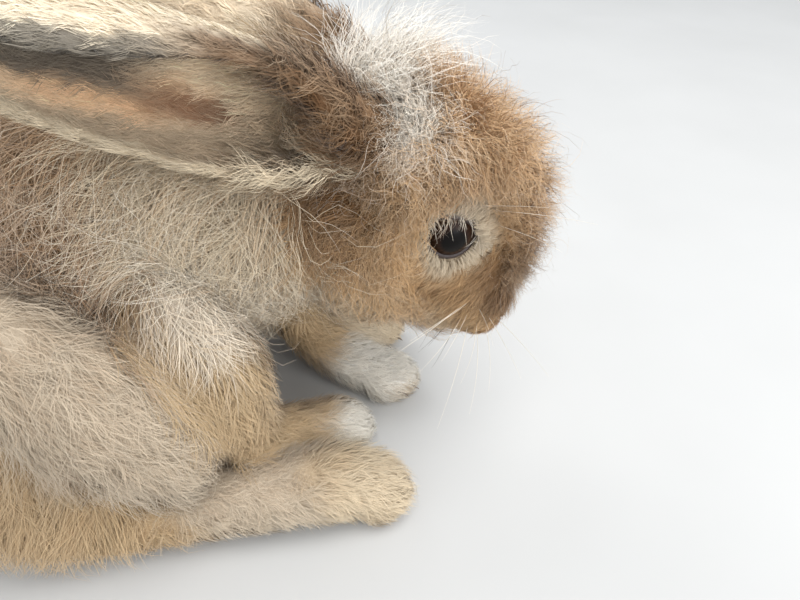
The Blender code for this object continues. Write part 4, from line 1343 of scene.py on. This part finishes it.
def wool_kind(**sizes):
    plain = {"hairs": 8, "stations": 5, "root": 3.0, "gather": (0.3, 0.9), "stray": 1.6,
             "lift": (0.25, 1.0), "rise_power": 0.7, "turns": (0.3, 1.2), "curl": (0.2, 1.2),
             "sink": 1.2, "width": 0.7, "reach": (0.6, 1.0), "mottle": 0.1,
             "tip": CREAM_WOOL, "tip_share": 0.25, "eye_clearance": 15.0, "root_shade": 0.8,
             "accent": HONEY_WOOL, "accent_share": 0.0}
    plain.update(sizes)
    return plain


FAR_SHARE = 0.27
FAR_COARSE = 2.0


def near_camera(spots):
    paws = (spots[:, 0] > -60.0) & (spots[:, 1] < 60.0) & (spots[:, 2] < 50.0)
    return (spots[:, 0] > -142.0) & (spots[:, 1] < 16.0) | paws


def thin_out(spots, seed):
    """Which tufts stay: all near the camera, and a share of the others."""
    return near_camera(spots) | (np.random.default_rng(seed).random(len(spots)) < FAR_SHARE)


def coarseness(spots):
    return np.where(near_camera(spots), 1.0, FAR_COARSE)


def tufts(name, own, per_cm2, keep, lie, length, depth, wool, seed, steps=8, swing=0.35, curl=0.5):
    """Grow one kind of wool on one part of the body."""
    spots, normals = even_spots(form_meshes[own], per_cm2 * SPARSE_SHARE, seed)
    wanted = keep(spots, normals) & thin_out(spots, seed)
    spots, normals = spots[wanted], normals[wanted]
    free = outside(spots, [part for part in form_trees if part != own])
    spots, normals = spots[free], normals[free]
    rng = np.random.default_rng(seed + 3)
    lengths = length(spots, normals) * rng.uniform(0.75, 1.15, len(spots))
    swings = rng.normal(0.0, swing, len(spots))
    curls = rng.normal(0.0, curl, len(spots))
    tracks, facings = walk(ground, spots, lie, lengths, swings, curls, steps)
    clear = off_the_eyes(tracks, wool["eye_clearance"])
    spots, normals, tracks, facings = (
        rows[clear] for rows in (spots, normals, tracks, facings))
    colours = coat_colours(spots, np.full(len(spots), FORM_NAMES.index(own)))
    sizes = dict(wool, depth=depth(spots, normals), coarse=coarseness(spots))
    grow(name, tracks, facings, colours, sizes, seed)


# %% [markdown]
# Wool of the head: a deep curly dome on crown and forehead, softer and straighter on cheeks
# and jaw, and short flat fur on the muzzle and round the eyes.

# %% Coat of the head
def on_dome(spots, normals):
    return ((head_depth(spots, normals) > 7.0) & (head_frame(spots, normals)[1][:, 2] > 0.0)
            & (eye_distance(spots) > 16.0))


def on_cheeks(spots, normals):
    return ((head_depth(spots, normals) > 3.9) & ~on_dome(spots, normals)
            & (eye_distance(spots) > 17.0))


def on_jowls(spots, normals):
    return (spots[:, 0] < -8.0) & (spots[:, 2] < 126.0) & (eye_distance(spots) > 21.0)


def on_face(spots, normals):
    lines = line_distance(head_frame(spots, normals)[0], MOUTH_LINES + NOSTRILS)
    return (~on_dome(spots, normals) & ~on_cheeks(spots, normals) & (eye_distance(spots) > 10.6)
            & (lines > 1.3))


def level(value):
    """The same size everywhere."""
    return lambda spots, normals: np.full(len(spots), value)


def with_depth(times, more):
    """A length that goes with the depth of the wool on the head."""
    return lambda spots, normals: head_depth(spots, normals) * times + more


def face_length(spots, normals):
    return 3.2 + 3.8 * soft_step(11.0, 18.0, eye_distance(spots))


def face_depth(spots, normals):
    return np.minimum(head_depth(spots, normals), 3.0)


dome = wool_kind(hairs=9, stations=6, root=2.6, curl=(0.8, 2.2), turns=(1.0, 2.2), stray=2.2,
                 lift=(0.25, 1.05), rise_power=0.8, width=0.2, mottle=0.1, gather=(0.0, 0.6),
                 root_shade=0.84, tip_share=0.5, accent_share=0.5)
tufts("crown_wool", "head", 44.0, on_dome, out_from_whorl, with_depth(0.55, 2.0), head_depth,
      dome, 21, swing=0.9, curl=0.8)
cheek = wool_kind(hairs=9, stations=5, root=2.4, curl=(0.4, 1.3), width=0.21, stray=1.5,
                  lift=(0.15, 1.0), mottle=0.12, accent_share=0.5)
tufts("cheek_wool", "head", 42.0, on_cheeks, back_from_nose, with_depth(1.3, 5.0), head_depth,
      cheek, 22)
jowl = wool_kind(hairs=12, stations=6, root=3.4, curl=(0.8, 2.6), turns=(0.7, 1.7), stray=3.0,
                 width=0.18, mottle=0.14, lift=(0.2, 1.0), gather=(0.2, 0.8), accent=GOLD_WOOL,
                 accent_share=0.9)
tufts("jowl_wool", "head", 14.0, on_jowls, steady(-0.15, 0.0, -1.0), level(28.0), level(9.5),
      jowl, 24, swing=0.45)
face = wool_kind(hairs=6, stations=3, root=1.2, curl=(0.0, 0.25), turns=(0.1, 0.4), width=0.22,
                 stray=0.5, lift=(0.3, 0.9), mottle=0.08, gather=(0.2, 0.7), sink=0.6,
                 eye_clearance=11.5)
tufts("face_fur", "head", 150.0, on_face, over_the_face, face_length, face_depth, face, 23,
      steps=4, swing=0.2, curl=0.15)

# %% [markdown]
# The long wool of neck and body hangs in soft, slightly wavy locks, longest on the body. The
# tail's wool goes up and over it.

# %% Coat of neck, body and tail
def everywhere(spots, normals):
    return np.ones(len(spots), bool)


def above_floor(spots, normals):
    return spots[:, 2] > 6.0


def throat_depth(spots, normals):
    return 14.0 + 3.0 * np.maximum(-normals[:, 2], 0.0)


def body_depth(spots, normals):
    near_floor = soft_step(4.0, 26.0, spots[:, 2])
    return (18.0 - 5.0 * np.maximum(-normals[:, 2], 0.0)) * (0.25 + 0.75 * near_floor)


neck_wool = wool_kind(hairs=12, stations=6, root=4.0, curl=(0.7, 2.2), turns=(0.5, 1.3),
                      stray=3.0, width=0.2, mottle=0.17, lift=(0.1, 0.95), gather=(0.3, 0.95),
                      accent_share=0.8, root_shade=0.72)
tufts("neck_wool", "neck", 17.0, everywhere, back_and_down, level(34.0), throat_depth,
      neck_wool, 31, swing=0.55)
body_wool = wool_kind(hairs=12, stations=6, root=5.2, curl=(0.9, 3.0), turns=(0.5, 1.3),
                      stray=3.6, width=0.22, mottle=0.2, lift=(0.1, 0.95), gather=(0.3, 0.95),
                      accent_share=0.9, tip=WHITE_WOOL, tip_share=0.35, root_shade=0.7)
tufts("body_wool", "torso", 6.4, above_floor, back_and_down, level(46.0), body_depth,
      body_wool, 32, swing=0.6, curl=0.8)
tail_wool = wool_kind(hairs=12, stations=5, root=3.6, curl=(0.5, 1.6), stray=2.6, width=0.32)
tufts("tail_wool", "tail", 30.0, everywhere, up_the_tail, level(27.0), level(14.0), tail_wool, 33)

# %% [markdown]
# Over the shoulder the longest wool of the neck hangs down in a ruff, and fine loose hairs
# stray out of the coat everywhere, in wide curls. They are few, but they make its edge soft.

# %% Ruff and stray hairs
def on_shoulder(spots, normals):
    return ((spots[:, 2] > 72.0) & (spots[:, 2] < 112.0) & (normals[:, 2] < 0.6)
            & (spots[:, 0] > -100.0))


ruff = wool_kind(hairs=14, stations=7, root=4.4, curl=(1.2, 4.0), turns=(0.8, 2.0), stray=6.0,
                 width=0.18, mottle=0.1, lift=(0.2, 1.0), gather=(0.1, 0.8), accent_share=0.3,
                 tip=WHITE_WOOL, tip_share=0.5)
tufts("ruff_wool", "neck", 9.0, on_shoulder, steady(0.05, 0.0, -1.0), level(38.0), level(13.0),
      ruff, 34, swing=0.6)
loose = wool_kind(hairs=4, stations=9, root=3.0, curl=(2.0, 6.0), turns=(0.5, 1.4), stray=7.0,
                  width=0.16, lift=(0.6, 1.3), gather=(0.0, 0.4), accent_share=0.3,
                  tip=WHITE_WOOL, tip_share=0.6, root_shade=0.9)
tufts("loose_hair_neck", "neck", 5.0, everywhere, back_and_down, level(44.0), throat_depth,
      loose, 35, swing=0.9, curl=1.2)
tufts("loose_hair_body", "torso", 1.6, above_floor, back_and_down, level(54.0), body_depth,
      dict(loose, lift=(0.5, 1.0), curl=(1.5, 4.0), stray=5.0), 36, swing=0.9, curl=1.2)
tufts("loose_hair_crown", "head", 9.0, on_dome, out_from_whorl, with_depth(0.9, 4.0), head_depth,
      dict(loose, curl=(1.0, 3.0), stray=4.0, turns=(0.8, 1.8), width=0.14), 37,
      swing=1.2, curl=1.2)

# %% [markdown]
# Between the ears a knot of long white wool stands up and falls open to the front.

# %% Topknot
TOPKNOT_MIDDLE = np.array([-26.0, 2.0, 152.0])
TOPKNOT_HALF = np.array([13.0, 17.0, 14.0])


def on_top(spots, normals):
    reach = np.linalg.norm((spots - TOPKNOT_MIDDLE) / TOPKNOT_HALF, axis=1)
    return (reach < 1.0) & (normals[:, 2] > 0.2)


topknot = wool_kind(hairs=12, stations=8, root=3.6, curl=(1.0, 3.4), turns=(0.7, 1.8), stray=6.0,
                    width=0.18, mottle=0.08, lift=(0.5, 1.0), rise_power=0.85, gather=(0.0, 0.6),
                    tip=WHITE_WOOL, tip_share=0.7, root_shade=0.92)
tufts("topknot", "head", 17.0, on_top, steady(0.5, 0.85, 0.1), level(26.0), level(27.0),
      topknot, 38, swing=0.9)

# %% [markdown]
# On the legs the wool is shorter than on the body, and on the front edge of thigh and shin it
# is shortest. The paws have short dense fur, a little longer on top.

# %% Coat of the legs
FUR_STARTS = 1.5
PAW_HEIGHT = 28.0


def thigh_depth(spots, normals):
    full = soft_step(14.0, 36.0, spots[:, 2]) * soft_step(-40.0, -72.0, spots[:, 0])
    return 4.0 + 9.0 * full * (1.0 - 0.35 * soft_band(spots))


def thigh_length(spots, normals):
    return (10.0 + 2.2 * thigh_depth(spots, normals)) * (1.0 - 0.5 * soft_band(spots))


def arm_depth(spots, normals):
    return 3.5 + 6.0 * soft_step(26.0, 60.0, spots[:, 2])


def more_on_top(low, extra):
    return lambda spots, normals: low + extra * np.maximum(normals[:, 2], 0.0)


leg_wool = wool_kind(hairs=14, stations=5, root=3.4, curl=(0.5, 1.8), turns=(0.5, 1.4),
                     stray=3.0, width=0.19, mottle=0.07, lift=(0.1, 0.85), gather=(0.1, 0.6),
                     accent_share=0.3, root_shade=0.88)
arm_wool = wool_kind(hairs=10, stations=5, root=2.6, curl=(0.3, 1.2), turns=(0.4, 1.2),
                     stray=2.0, width=0.26, mottle=0.08, lift=(0.15, 0.95))
paw_fur = wool_kind(hairs=6, stations=3, root=1.5, curl=(0.1, 0.5), turns=(0.2, 0.5),
                    stray=1.4, width=0.24, mottle=0.07, gather=(0.1, 0.7), sink=0.6,
                    lift=(0.3, 1.1), root_shade=0.9)


def on_thigh(spots, normals):
    return (thigh_depth(spots, normals) > 5.0) & above_floor(spots, normals)


def on_foot(spots, normals):
    return ~on_thigh(spots, normals) & (spots[:, 2] > FUR_STARTS)


def on_arm(spots, normals):
    return spots[:, 2] > PAW_HEIGHT


def on_paw(spots, normals):
    return (spots[:, 2] <= PAW_HEIGHT) & (spots[:, 2] > FUR_STARTS)


for end, side in SIDES:
    seed = 40 if end == "left" else 60
    tufts("thigh_wool_" + end, "hind_leg_" + end, 9.0, on_thigh, down_the_leg, thigh_length,
          thigh_depth, leg_wool, seed)
    tufts("foot_fur_" + end, "hind_leg_" + end, 35.0, on_foot, steady(1.0, 0.0, -0.35),
          more_on_top(9.0, 6.0), more_on_top(3.6, 3.4), paw_fur, seed + 1, steps=4,
          swing=0.3, curl=0.3)
    tufts("arm_wool_" + end, "foreleg_" + end, 18.0, on_arm, down_the_arm, level(24.0),
          arm_depth, arm_wool, seed + 2)
    tufts("paw_fur_" + end, "foreleg_" + end, 56.0, on_paw, down_the_arm, level(12.0),
          level(5.5), paw_fur, seed + 3, steps=4, swing=0.4, curl=0.4)

# %% [markdown]
# Ear fur is short, lies flat and points to the tip. On the base of the ear it is longer wool.

# %% Coat of the ears
EAR_FUR_END = 121.0
SHORTEST_EAR_HAIR = 3.0


def ear_fur(name, end, side, per_cm2, length, depth, wool, seed, first, last):
    """Fur on one ear, between two distances from its root."""
    root, along, opening, across = (np.array(v) for v in ear_axes(side))
    spots, normals = even_spots(ear_meshes[end], per_cm2 * SPARSE_SHARE, seed)
    distance = (spots - root) @ along
    spots = spots[(distance > first) & (distance <= last) & thin_out(spots, seed)]
    spots = spots[outside(spots, ["head"])]
    room = EAR_FUR_END - (spots - root) @ along
    rng = np.random.default_rng(seed + 3)
    lengths = length * rng.uniform(0.7, 1.2, len(spots))
    lengths = np.minimum(lengths, np.maximum(room, SHORTEST_EAR_HAIR))
    swings = rng.normal(0.0, 0.3, len(spots))
    curls = rng.normal(0.0, 0.4, len(spots))
    to_the_tip = steady(*(along - np.array([0.0, 0.0, 0.12])))
    tracks, facings = walk(ear_trees[end], spots, to_the_tip, lengths, swings, curls, 4)
    sizes = dict(wool, depth=np.full(len(spots), depth), coarse=coarseness(spots))
    grow(name, tracks, facings, ear_colours(spots, side), sizes, seed)


ear_wool = wool_kind(hairs=6, stations=3, root=1.3, curl=(0.05, 0.4), turns=(0.2, 0.5),
                     stray=0.7, width=0.2, mottle=0.08, gather=(0.1, 0.7), sink=0.5,
                     root_shade=0.95)
base_wool = wool_kind(hairs=8, stations=6, root=2.2, curl=(0.4, 1.4), turns=(0.6, 1.5),
                      stray=1.6, width=0.24, mottle=0.14)
for end, side in SIDES:
    seed = 80 if end == "left" else 90
    ear_fur("ear_fur_" + end, end, side, 56.0, 7.5, 1.5, ear_wool, seed, 24.0, math.inf)
    ear_fur("ear_root_wool_" + end, end, side, 26.0, 13.0, 6.5, base_wool, seed + 1,
            -math.inf, 32.0)

# %% [markdown]
# Wool is matt and soft, with a faint sheen, and a fine noise breaks its colour up along the
# hair.

# %% Finish of the wool
wool_finish, tree, shader = procedural("angora_wool", 0.7)
grained_tone(tree, shader, noise(tree, 1500.0, 2.0), (0.78, 0.76, 0.74), 0.7)
shader.inputs["Specular IOR Level"].default_value = 0.25
shader.inputs["Sheen Weight"].default_value = 0.15
shader.inputs["Sheen Roughness"].default_value = 0.5
for thing in coat_pieces:
    thing.data.materials.clear()
    thing.data.materials.append(wool_finish)
print(len(coat_pieces), "pieces of coat")

# %% [markdown]
# ## Eyes
#
# A rabbit's eye is almost all dark brown iris and black pupil, under a wet clear cornea that
# mirrors the sky. One ball does it: the iris is painted by the angle from the gaze, and a
# thin clear coat on top gives the sharp highlight.

# %% Eyeballs
IRIS = linear(44, 26, 16)
PUPIL = linear(10, 7, 6)
EYE_WHITE = linear(120, 96, 84)
SPOKES = 41.0
eye_finish, tree, shader = procedural("wet_eye", 0.35)
shader.inputs["Specular IOR Level"].default_value = 0.1
tree.links.new(tone(tree), shader.inputs["Base Color"])
shader.inputs["Coat Weight"].default_value = 0.1
shader.inputs["Coat Roughness"].default_value = 0.04
shader.inputs["Coat IOR"].default_value = 1.3


def eyeball(name, side):
    bm = bmesh.new()
    bmesh.ops.create_uvsphere(bm, u_segments=64, v_segments=40, radius=EYE_RADIUS)
    mesh = mesh_from(bm, name)
    points = points_of(mesh)
    angle = np.degrees(np.arctan2(np.hypot(points[:, 0], points[:, 1]), points[:, 2]))
    spokes = 0.5 + 0.5 * np.sin(np.arctan2(points[:, 1], points[:, 0]) * SPOKES)
    iris = IRIS * (0.5 + 0.7 * spokes[:, None])
    past_pupil = soft_step(24.0, 30.0, angle)[:, None]
    rim = soft_step(60.0, 70.0, angle)[:, None]
    set_tones(mesh, (PUPIL * (1 - past_pupil) + iris * past_pupil) * (1 - rim) + EYE_WHITE * rim)
    smooth(mesh)
    mesh.transform(TO_MODEL @ eye_place(side))
    mesh.materials.append(eye_finish)
    return add_object(name, mesh)


eyeballs = [eyeball("eyeball_" + end, side) for end, side in SIDES]
print("eyeballs:", [len(thing.data.polygons) for thing in eyeballs], "faces")

# %% [markdown]
# The lids are a rolled rim round an almond slit, dark brown at the edge, that fades into the
# pale ring of fur. Each is a band of rings: it starts on the eyeball, rolls over the rim,
# runs over the lid and sinks under the skin.

# %% Lids
LID_EDGE = linear(46, 30, 26)
LID_POINTS = 72
LID_WALL = 0.0004
# Distance out from the slit's edge, and height over the eyeball's surface
LID_PROFILE = ((-0.9, -0.3), (-0.35, 0.25), (0.1, 0.8), (0.8, 1.15), (1.6, 1.25), (2.8, 1.1),
               (4.2, 0.6))
lid_finish, tree, shader = procedural("eyelid_skin", 0.45)
grain = noise(tree, 1400.0, 3.0)
tree.links.new(tone(tree), shader.inputs["Base Color"])
bump(tree, shader, grain.outputs["Fac"], 0.4, 0.0005)


def slit_edge(angle):
    across = math.sin(angle)
    return (LID_LENGTH / 2.0 * math.cos(angle), LID_HEIGHT / 2.0 * across * abs(across) ** 0.25)


def lid_point(angle, out, height):
    """A point of the lid: over the eyeball's surface, and beyond its edge on a steep cone."""
    x, y = slit_edge(angle)
    reach = math.hypot(x, y)
    scale = (reach + out) / reach
    x, y = x * scale, y * scale
    far = math.hypot(x, y)
    radius = EYE_RADIUS + height
    edge = radius * 0.94
    if far < edge:
        return Vector((x, y, math.sqrt(radius ** 2 - far ** 2)))
    return Vector((x, y, radius * 0.34 - (far - edge) * 1.1))


def lids(name, side):
    bm = bmesh.new()
    loops = [[bm.verts.new(lid_point(math.tau * i / LID_POINTS, out, height))
              for i in range(LID_POINTS)] for out, height in LID_PROFILE]
    join_loops(bm, loops)
    bmesh.ops.recalc_face_normals(bm, faces=bm.faces)
    mesh = mesh_from(bm, name)
    tones = []
    for row in range(len(LID_PROFILE)):
        share = float(soft_step(0.42, 0.78, np.array(row / (len(LID_PROFILE) - 1))))
        tones += [LID_EDGE * (1.0 - share) + EYE_RING * 0.8 * share] * LID_POINTS
    set_tones(mesh, np.array(tones))
    smooth(mesh)
    mesh.transform(TO_MODEL @ eye_place(side))
    mesh.materials.append(lid_finish)
    thing = add_object(name, mesh)
    wall = thing.modifiers.new("thickness", "SOLIDIFY")
    wall.thickness = LID_WALL
    wall.offset = -1.0
    fine = thing.modifiers.new("round", "SUBSURF")
    fine.levels = 1
    fine.render_levels = 1
    return thing


eyelids = [lids("lids_" + end, side) for end, side in SIDES]
print("lids:", [len(thing.data.polygons) for thing in eyelids], "faces before rounding")

# %% [markdown]
# ## Whiskers, lashes and claws
#
# Whiskers and lashes are stiff bristles that follow paths. Geometry Nodes turn a mesh of
# broken lines into tapered round hairs: the lines become curves, and a small circle is swept
# along them at a scale that falls towards the tip. The tree has a named input for each size.

# %% Tree for bristles
def bristle_tree():
    tree = bpy.data.node_groups.new("bristles", "GeometryNodeTree")
    face = tree.interface
    face.new_socket("Geometry", in_out="INPUT", socket_type="NodeSocketGeometry")
    for name, size in (("Root radius", 0.0001), ("Tip share", 0.15)):
        face.new_socket(name, in_out="INPUT", socket_type="NodeSocketFloat").default_value = size
    face.new_socket("Finish", in_out="INPUT", socket_type="NodeSocketMaterial")
    face.new_socket("Geometry", in_out="OUTPUT", socket_type="NodeSocketGeometry")
    make = tree.nodes.new
    link = tree.links.new
    start, end = make("NodeGroupInput"), make("NodeGroupOutput")
    to_curve = make("GeometryNodeMeshToCurve")
    along = make("GeometryNodeSplineParameter")
    taper = make("ShaderNodeMapRange")
    taper.inputs["To Min"].default_value = 1.0
    link(along.outputs["Factor"], taper.inputs["Value"])
    link(start.outputs["Tip share"], taper.inputs["To Max"])
    radius = make("ShaderNodeMath")
    radius.operation = "MULTIPLY"
    link(taper.outputs["Result"], radius.inputs[0])
    link(start.outputs["Root radius"], radius.inputs[1])
    link(start.outputs["Geometry"], to_curve.inputs["Mesh"])
    ring = make("GeometryNodeCurvePrimitiveCircle")
    ring.inputs["Resolution"].default_value = 5
    ring.inputs["Radius"].default_value = 1.0
    sweep = make("GeometryNodeCurveToMesh")
    sweep.inputs["Fill Caps"].default_value = True
    link(to_curve.outputs["Curve"], sweep.inputs["Curve"])
    link(radius.outputs["Value"], sweep.inputs["Scale"])
    link(ring.outputs["Curve"], sweep.inputs["Profile Curve"])
    real = make("GeometryNodeRealizeInstances")
    finish = make("GeometryNodeSetMaterial")
    link(sweep.outputs["Mesh"], real.inputs["Geometry"])
    link(real.outputs["Geometry"], finish.inputs["Geometry"])
    link(start.outputs["Finish"], finish.inputs["Material"])
    link(finish.outputs["Geometry"], end.inputs["Geometry"])
    return tree


BRISTLES = bristle_tree()
BRISTLE_TIP = 0.2


def bristles(name, paths, radius, finish):
    """Sweep round hairs along paths, in millimetres of the drawing."""
    points, edges = [], []
    for path in paths:
        edges += [(len(points) + i, len(points) + i + 1) for i in range(len(path) - 1)]
        points += [tuple(TO_MODEL @ Vector(point)) for point in path]
    lines = bpy.data.meshes.new(name + "_lines")
    lines.from_pydata(points, edges, [])
    thing = add_object(name, lines)
    sweep = thing.modifiers.new("bristles", "NODES")
    sweep.node_group = BRISTLES
    values = {"Root radius": radius * 0.001, "Tip share": BRISTLE_TIP, "Finish": finish}
    for item in BRISTLES.interface.items_tree:
        if item.in_out == "INPUT" and item.name in values:
            sweep[item.identifier] = values[item.name]
    made = evaluated_mesh(thing)
    thing.modifiers.remove(sweep)
    thing.data = made
    smooth(made)
    print(name, len(paths), "hairs,", len(made.polygons), "faces")
    return thing


# %% [markdown]
# Whiskers grow in rows from the pads of the muzzle, out, back and a little down, and a few
# stand over each eye. Short dark bristles grow under the chin. Lashes are short, pale and
# thick along the upper lid.

# %% Whiskers and lashes
def horn_like(name, first, second, roughness):
    finish, tree, shader = procedural(name, roughness)
    grain = noise(tree, 700.0, 3.0)
    tint = blend_colours(tree, grain.outputs["Fac"], first, second)
    tree.links.new(tint.outputs["Color"], shader.inputs["Base Color"])
    bump(tree, shader, grain.outputs["Fac"], 0.2, 0.0002)
    return finish


pale_bristle = horn_like("pale_bristle", linear(228, 214, 190), linear(250, 244, 232), 0.4)
dark_bristle = horn_like("dark_bristle", linear(48, 38, 30), linear(84, 70, 58), 0.4)


def whisker(root, way, length, droop, count=9):
    """A whisker's path in the head's frame, bending down as it goes."""
    path = []
    for i in range(count):
        share = i / (count - 1)
        path.append(HEAD @ (root + way * length * share
                            + Vector((-0.25, 0.0, -1.0)) * droop * share ** 2.2))
    return path


def pad_whiskers(side, rng):
    """Three rows of four whiskers on the pad of the muzzle."""
    paths = []
    for row in range(3):
        for column in range(4):
            root = mirrored(side, (41.0 - 4.2 * column, 10.5 + 1.6 * column, -13.5 - 3.2 * row))
            way = mirrored(side, (0.25 - 0.28 * column, 1.0, 0.28 - 0.26 * row)).normalized()
            way += Vector(rng.normal(0.0, 0.08, 3))
            paths.append(whisker(root, way, rng.uniform(26.0, 46.0), rng.uniform(2.0, 9.0)))
    return paths


def chin_bristle(side, rng):
    root = mirrored(side, (rng.uniform(24.0, 42.0), rng.uniform(3.0, 12.0), -29.0))
    way = mirrored(side, (rng.uniform(-0.5, 0.5), rng.uniform(0.1, 0.6), -1.0)).normalized()
    return whisker(root, way, rng.uniform(9.0, 18.0), 2.0)


def lash(side, rng, count=7):
    """A lash's path: out from the upper lid, leaning up and back and bending down."""
    edge = Vector((*slit_edge(math.radians(rng.uniform(18.0, 166.0))), 0.0))
    edge.y *= -side
    root = edge * (1.0 + rng.uniform(0.02, 0.32))
    depth = math.sqrt(max((EYE_RADIUS + 1.2) ** 2 - min(root.length, EYE_RADIUS) ** 2, 4.0))
    length = rng.uniform(5.0, 12.0)
    lean = Vector((rng.normal(0.4, 0.35), side * rng.uniform(0.35, 0.9), 0.0))
    path = []
    for i in range(count):
        share = i / (count - 1)
        out = depth + length * (0.55 * share - 0.30 * share ** 2)
        spot = Vector((root.x, root.y, out)) + lean * length * 0.8 * share
        path.append(eye_place(side) @ spot)
    return path


# Root, way and length of the whiskers over an eye
BROW_WHISKERS = (
    ((4.0, 13.0, 13.0), (0.5, 0.6, 0.9), 40.0),
    ((0.0, 14.5, 12.0), (0.35, 0.7, 1.0), 34.0),
    ((8.0, 13.0, 10.5), (0.7, 0.7, 0.8), 30.0),
)
rng = np.random.default_rng(101)
long_paths, chin_paths, lash_paths = [], [], []
for side in BOTH_SIDES:
    long_paths += pad_whiskers(side, rng)
    for place, way, length in BROW_WHISKERS:
        root = mirrored(side, place)
        long_paths.append(whisker(root, mirrored(side, way).normalized(), length, 4.0))
    chin_paths += [chin_bristle(side, rng) for i in range(7)]
    lash_paths += [lash(side, rng) for i in range(60)]

bristle_pieces = [
    bristles("whiskers", long_paths, 0.11, pale_bristle),
    bristles("chin_bristles", chin_paths, 0.09, dark_bristle),
    bristles("lashes", lash_paths, 0.085, pale_bristle),
]

# %% [markdown]
# Each toe ends in a short, curved, pointed claw of dark horn, half hidden in the fur.

# %% Claws
CLAW_LENGTH = 7.0
CLAW_RADIUS = 1.2
CLAW_DROP = 3.0


def claw(bm, root, heading, count=9):
    side = heading.cross(UPWARDS).normalized()
    up = side.cross(heading).normalized()
    rings = []
    for i in range(count):
        share = i / (count - 1)
        middle = root + heading * CLAW_LENGTH * share - Vector((0.0, 0.0, CLAW_DROP * share ** 2))
        radius = CLAW_RADIUS * (1.0 - 0.92 * share ** 1.3)
        rings.append(oval(middle, side, up, radius, radius * 1.2, radius * 1.2, 12))
    add_rings(bm, rings)


bm = bmesh.new()
for side in BOTH_SIDES:
    for middle, step, half in (front_toes(side), HIND_TOES):
        places, heading = toe_places(side, middle, step)
        for place in places:
            claw(bm, place + heading * half.x * 0.48, heading)
bmesh.ops.recalc_face_normals(bm, faces=bm.faces)
claw_mesh = mesh_from(bm, "claws")
claw_mesh.transform(TO_MODEL)
smooth(claw_mesh)
claw_mesh.materials.append(horn_like("claw_horn", linear(58, 46, 38), linear(112, 94, 76), 0.35))
claws = add_object("claws", claw_mesh)
print("claws:", len(claw_mesh.polygons), "faces")

# %% [markdown]
# ## Rides and replacements
#
# The rabbit is one still body, so every piece rides on the root. The skin stands for all the
# nodes of flesh, and each eyeball for its own node.

# %% Rides, hidden parts and sizes
FLESH = [name for name in sorted(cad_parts) if not name.startswith("eye_")]
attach(skin, "root")
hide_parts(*FLESH)
for thing in coat_pieces:
    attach(thing, "root")
for thing, node in zip(eyeballs, ("eye_left", "eye_right")):
    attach(thing, "root")
    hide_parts(node)
for thing in eyelids + bristle_pieces + [claws]:
    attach(thing, "root")

total = 0
for thing in coat_pieces + [skin]:
    thing.data.calc_loop_triangles()
    total += len(thing.data.loop_triangles)
print("triangles in skin and coat:", total)
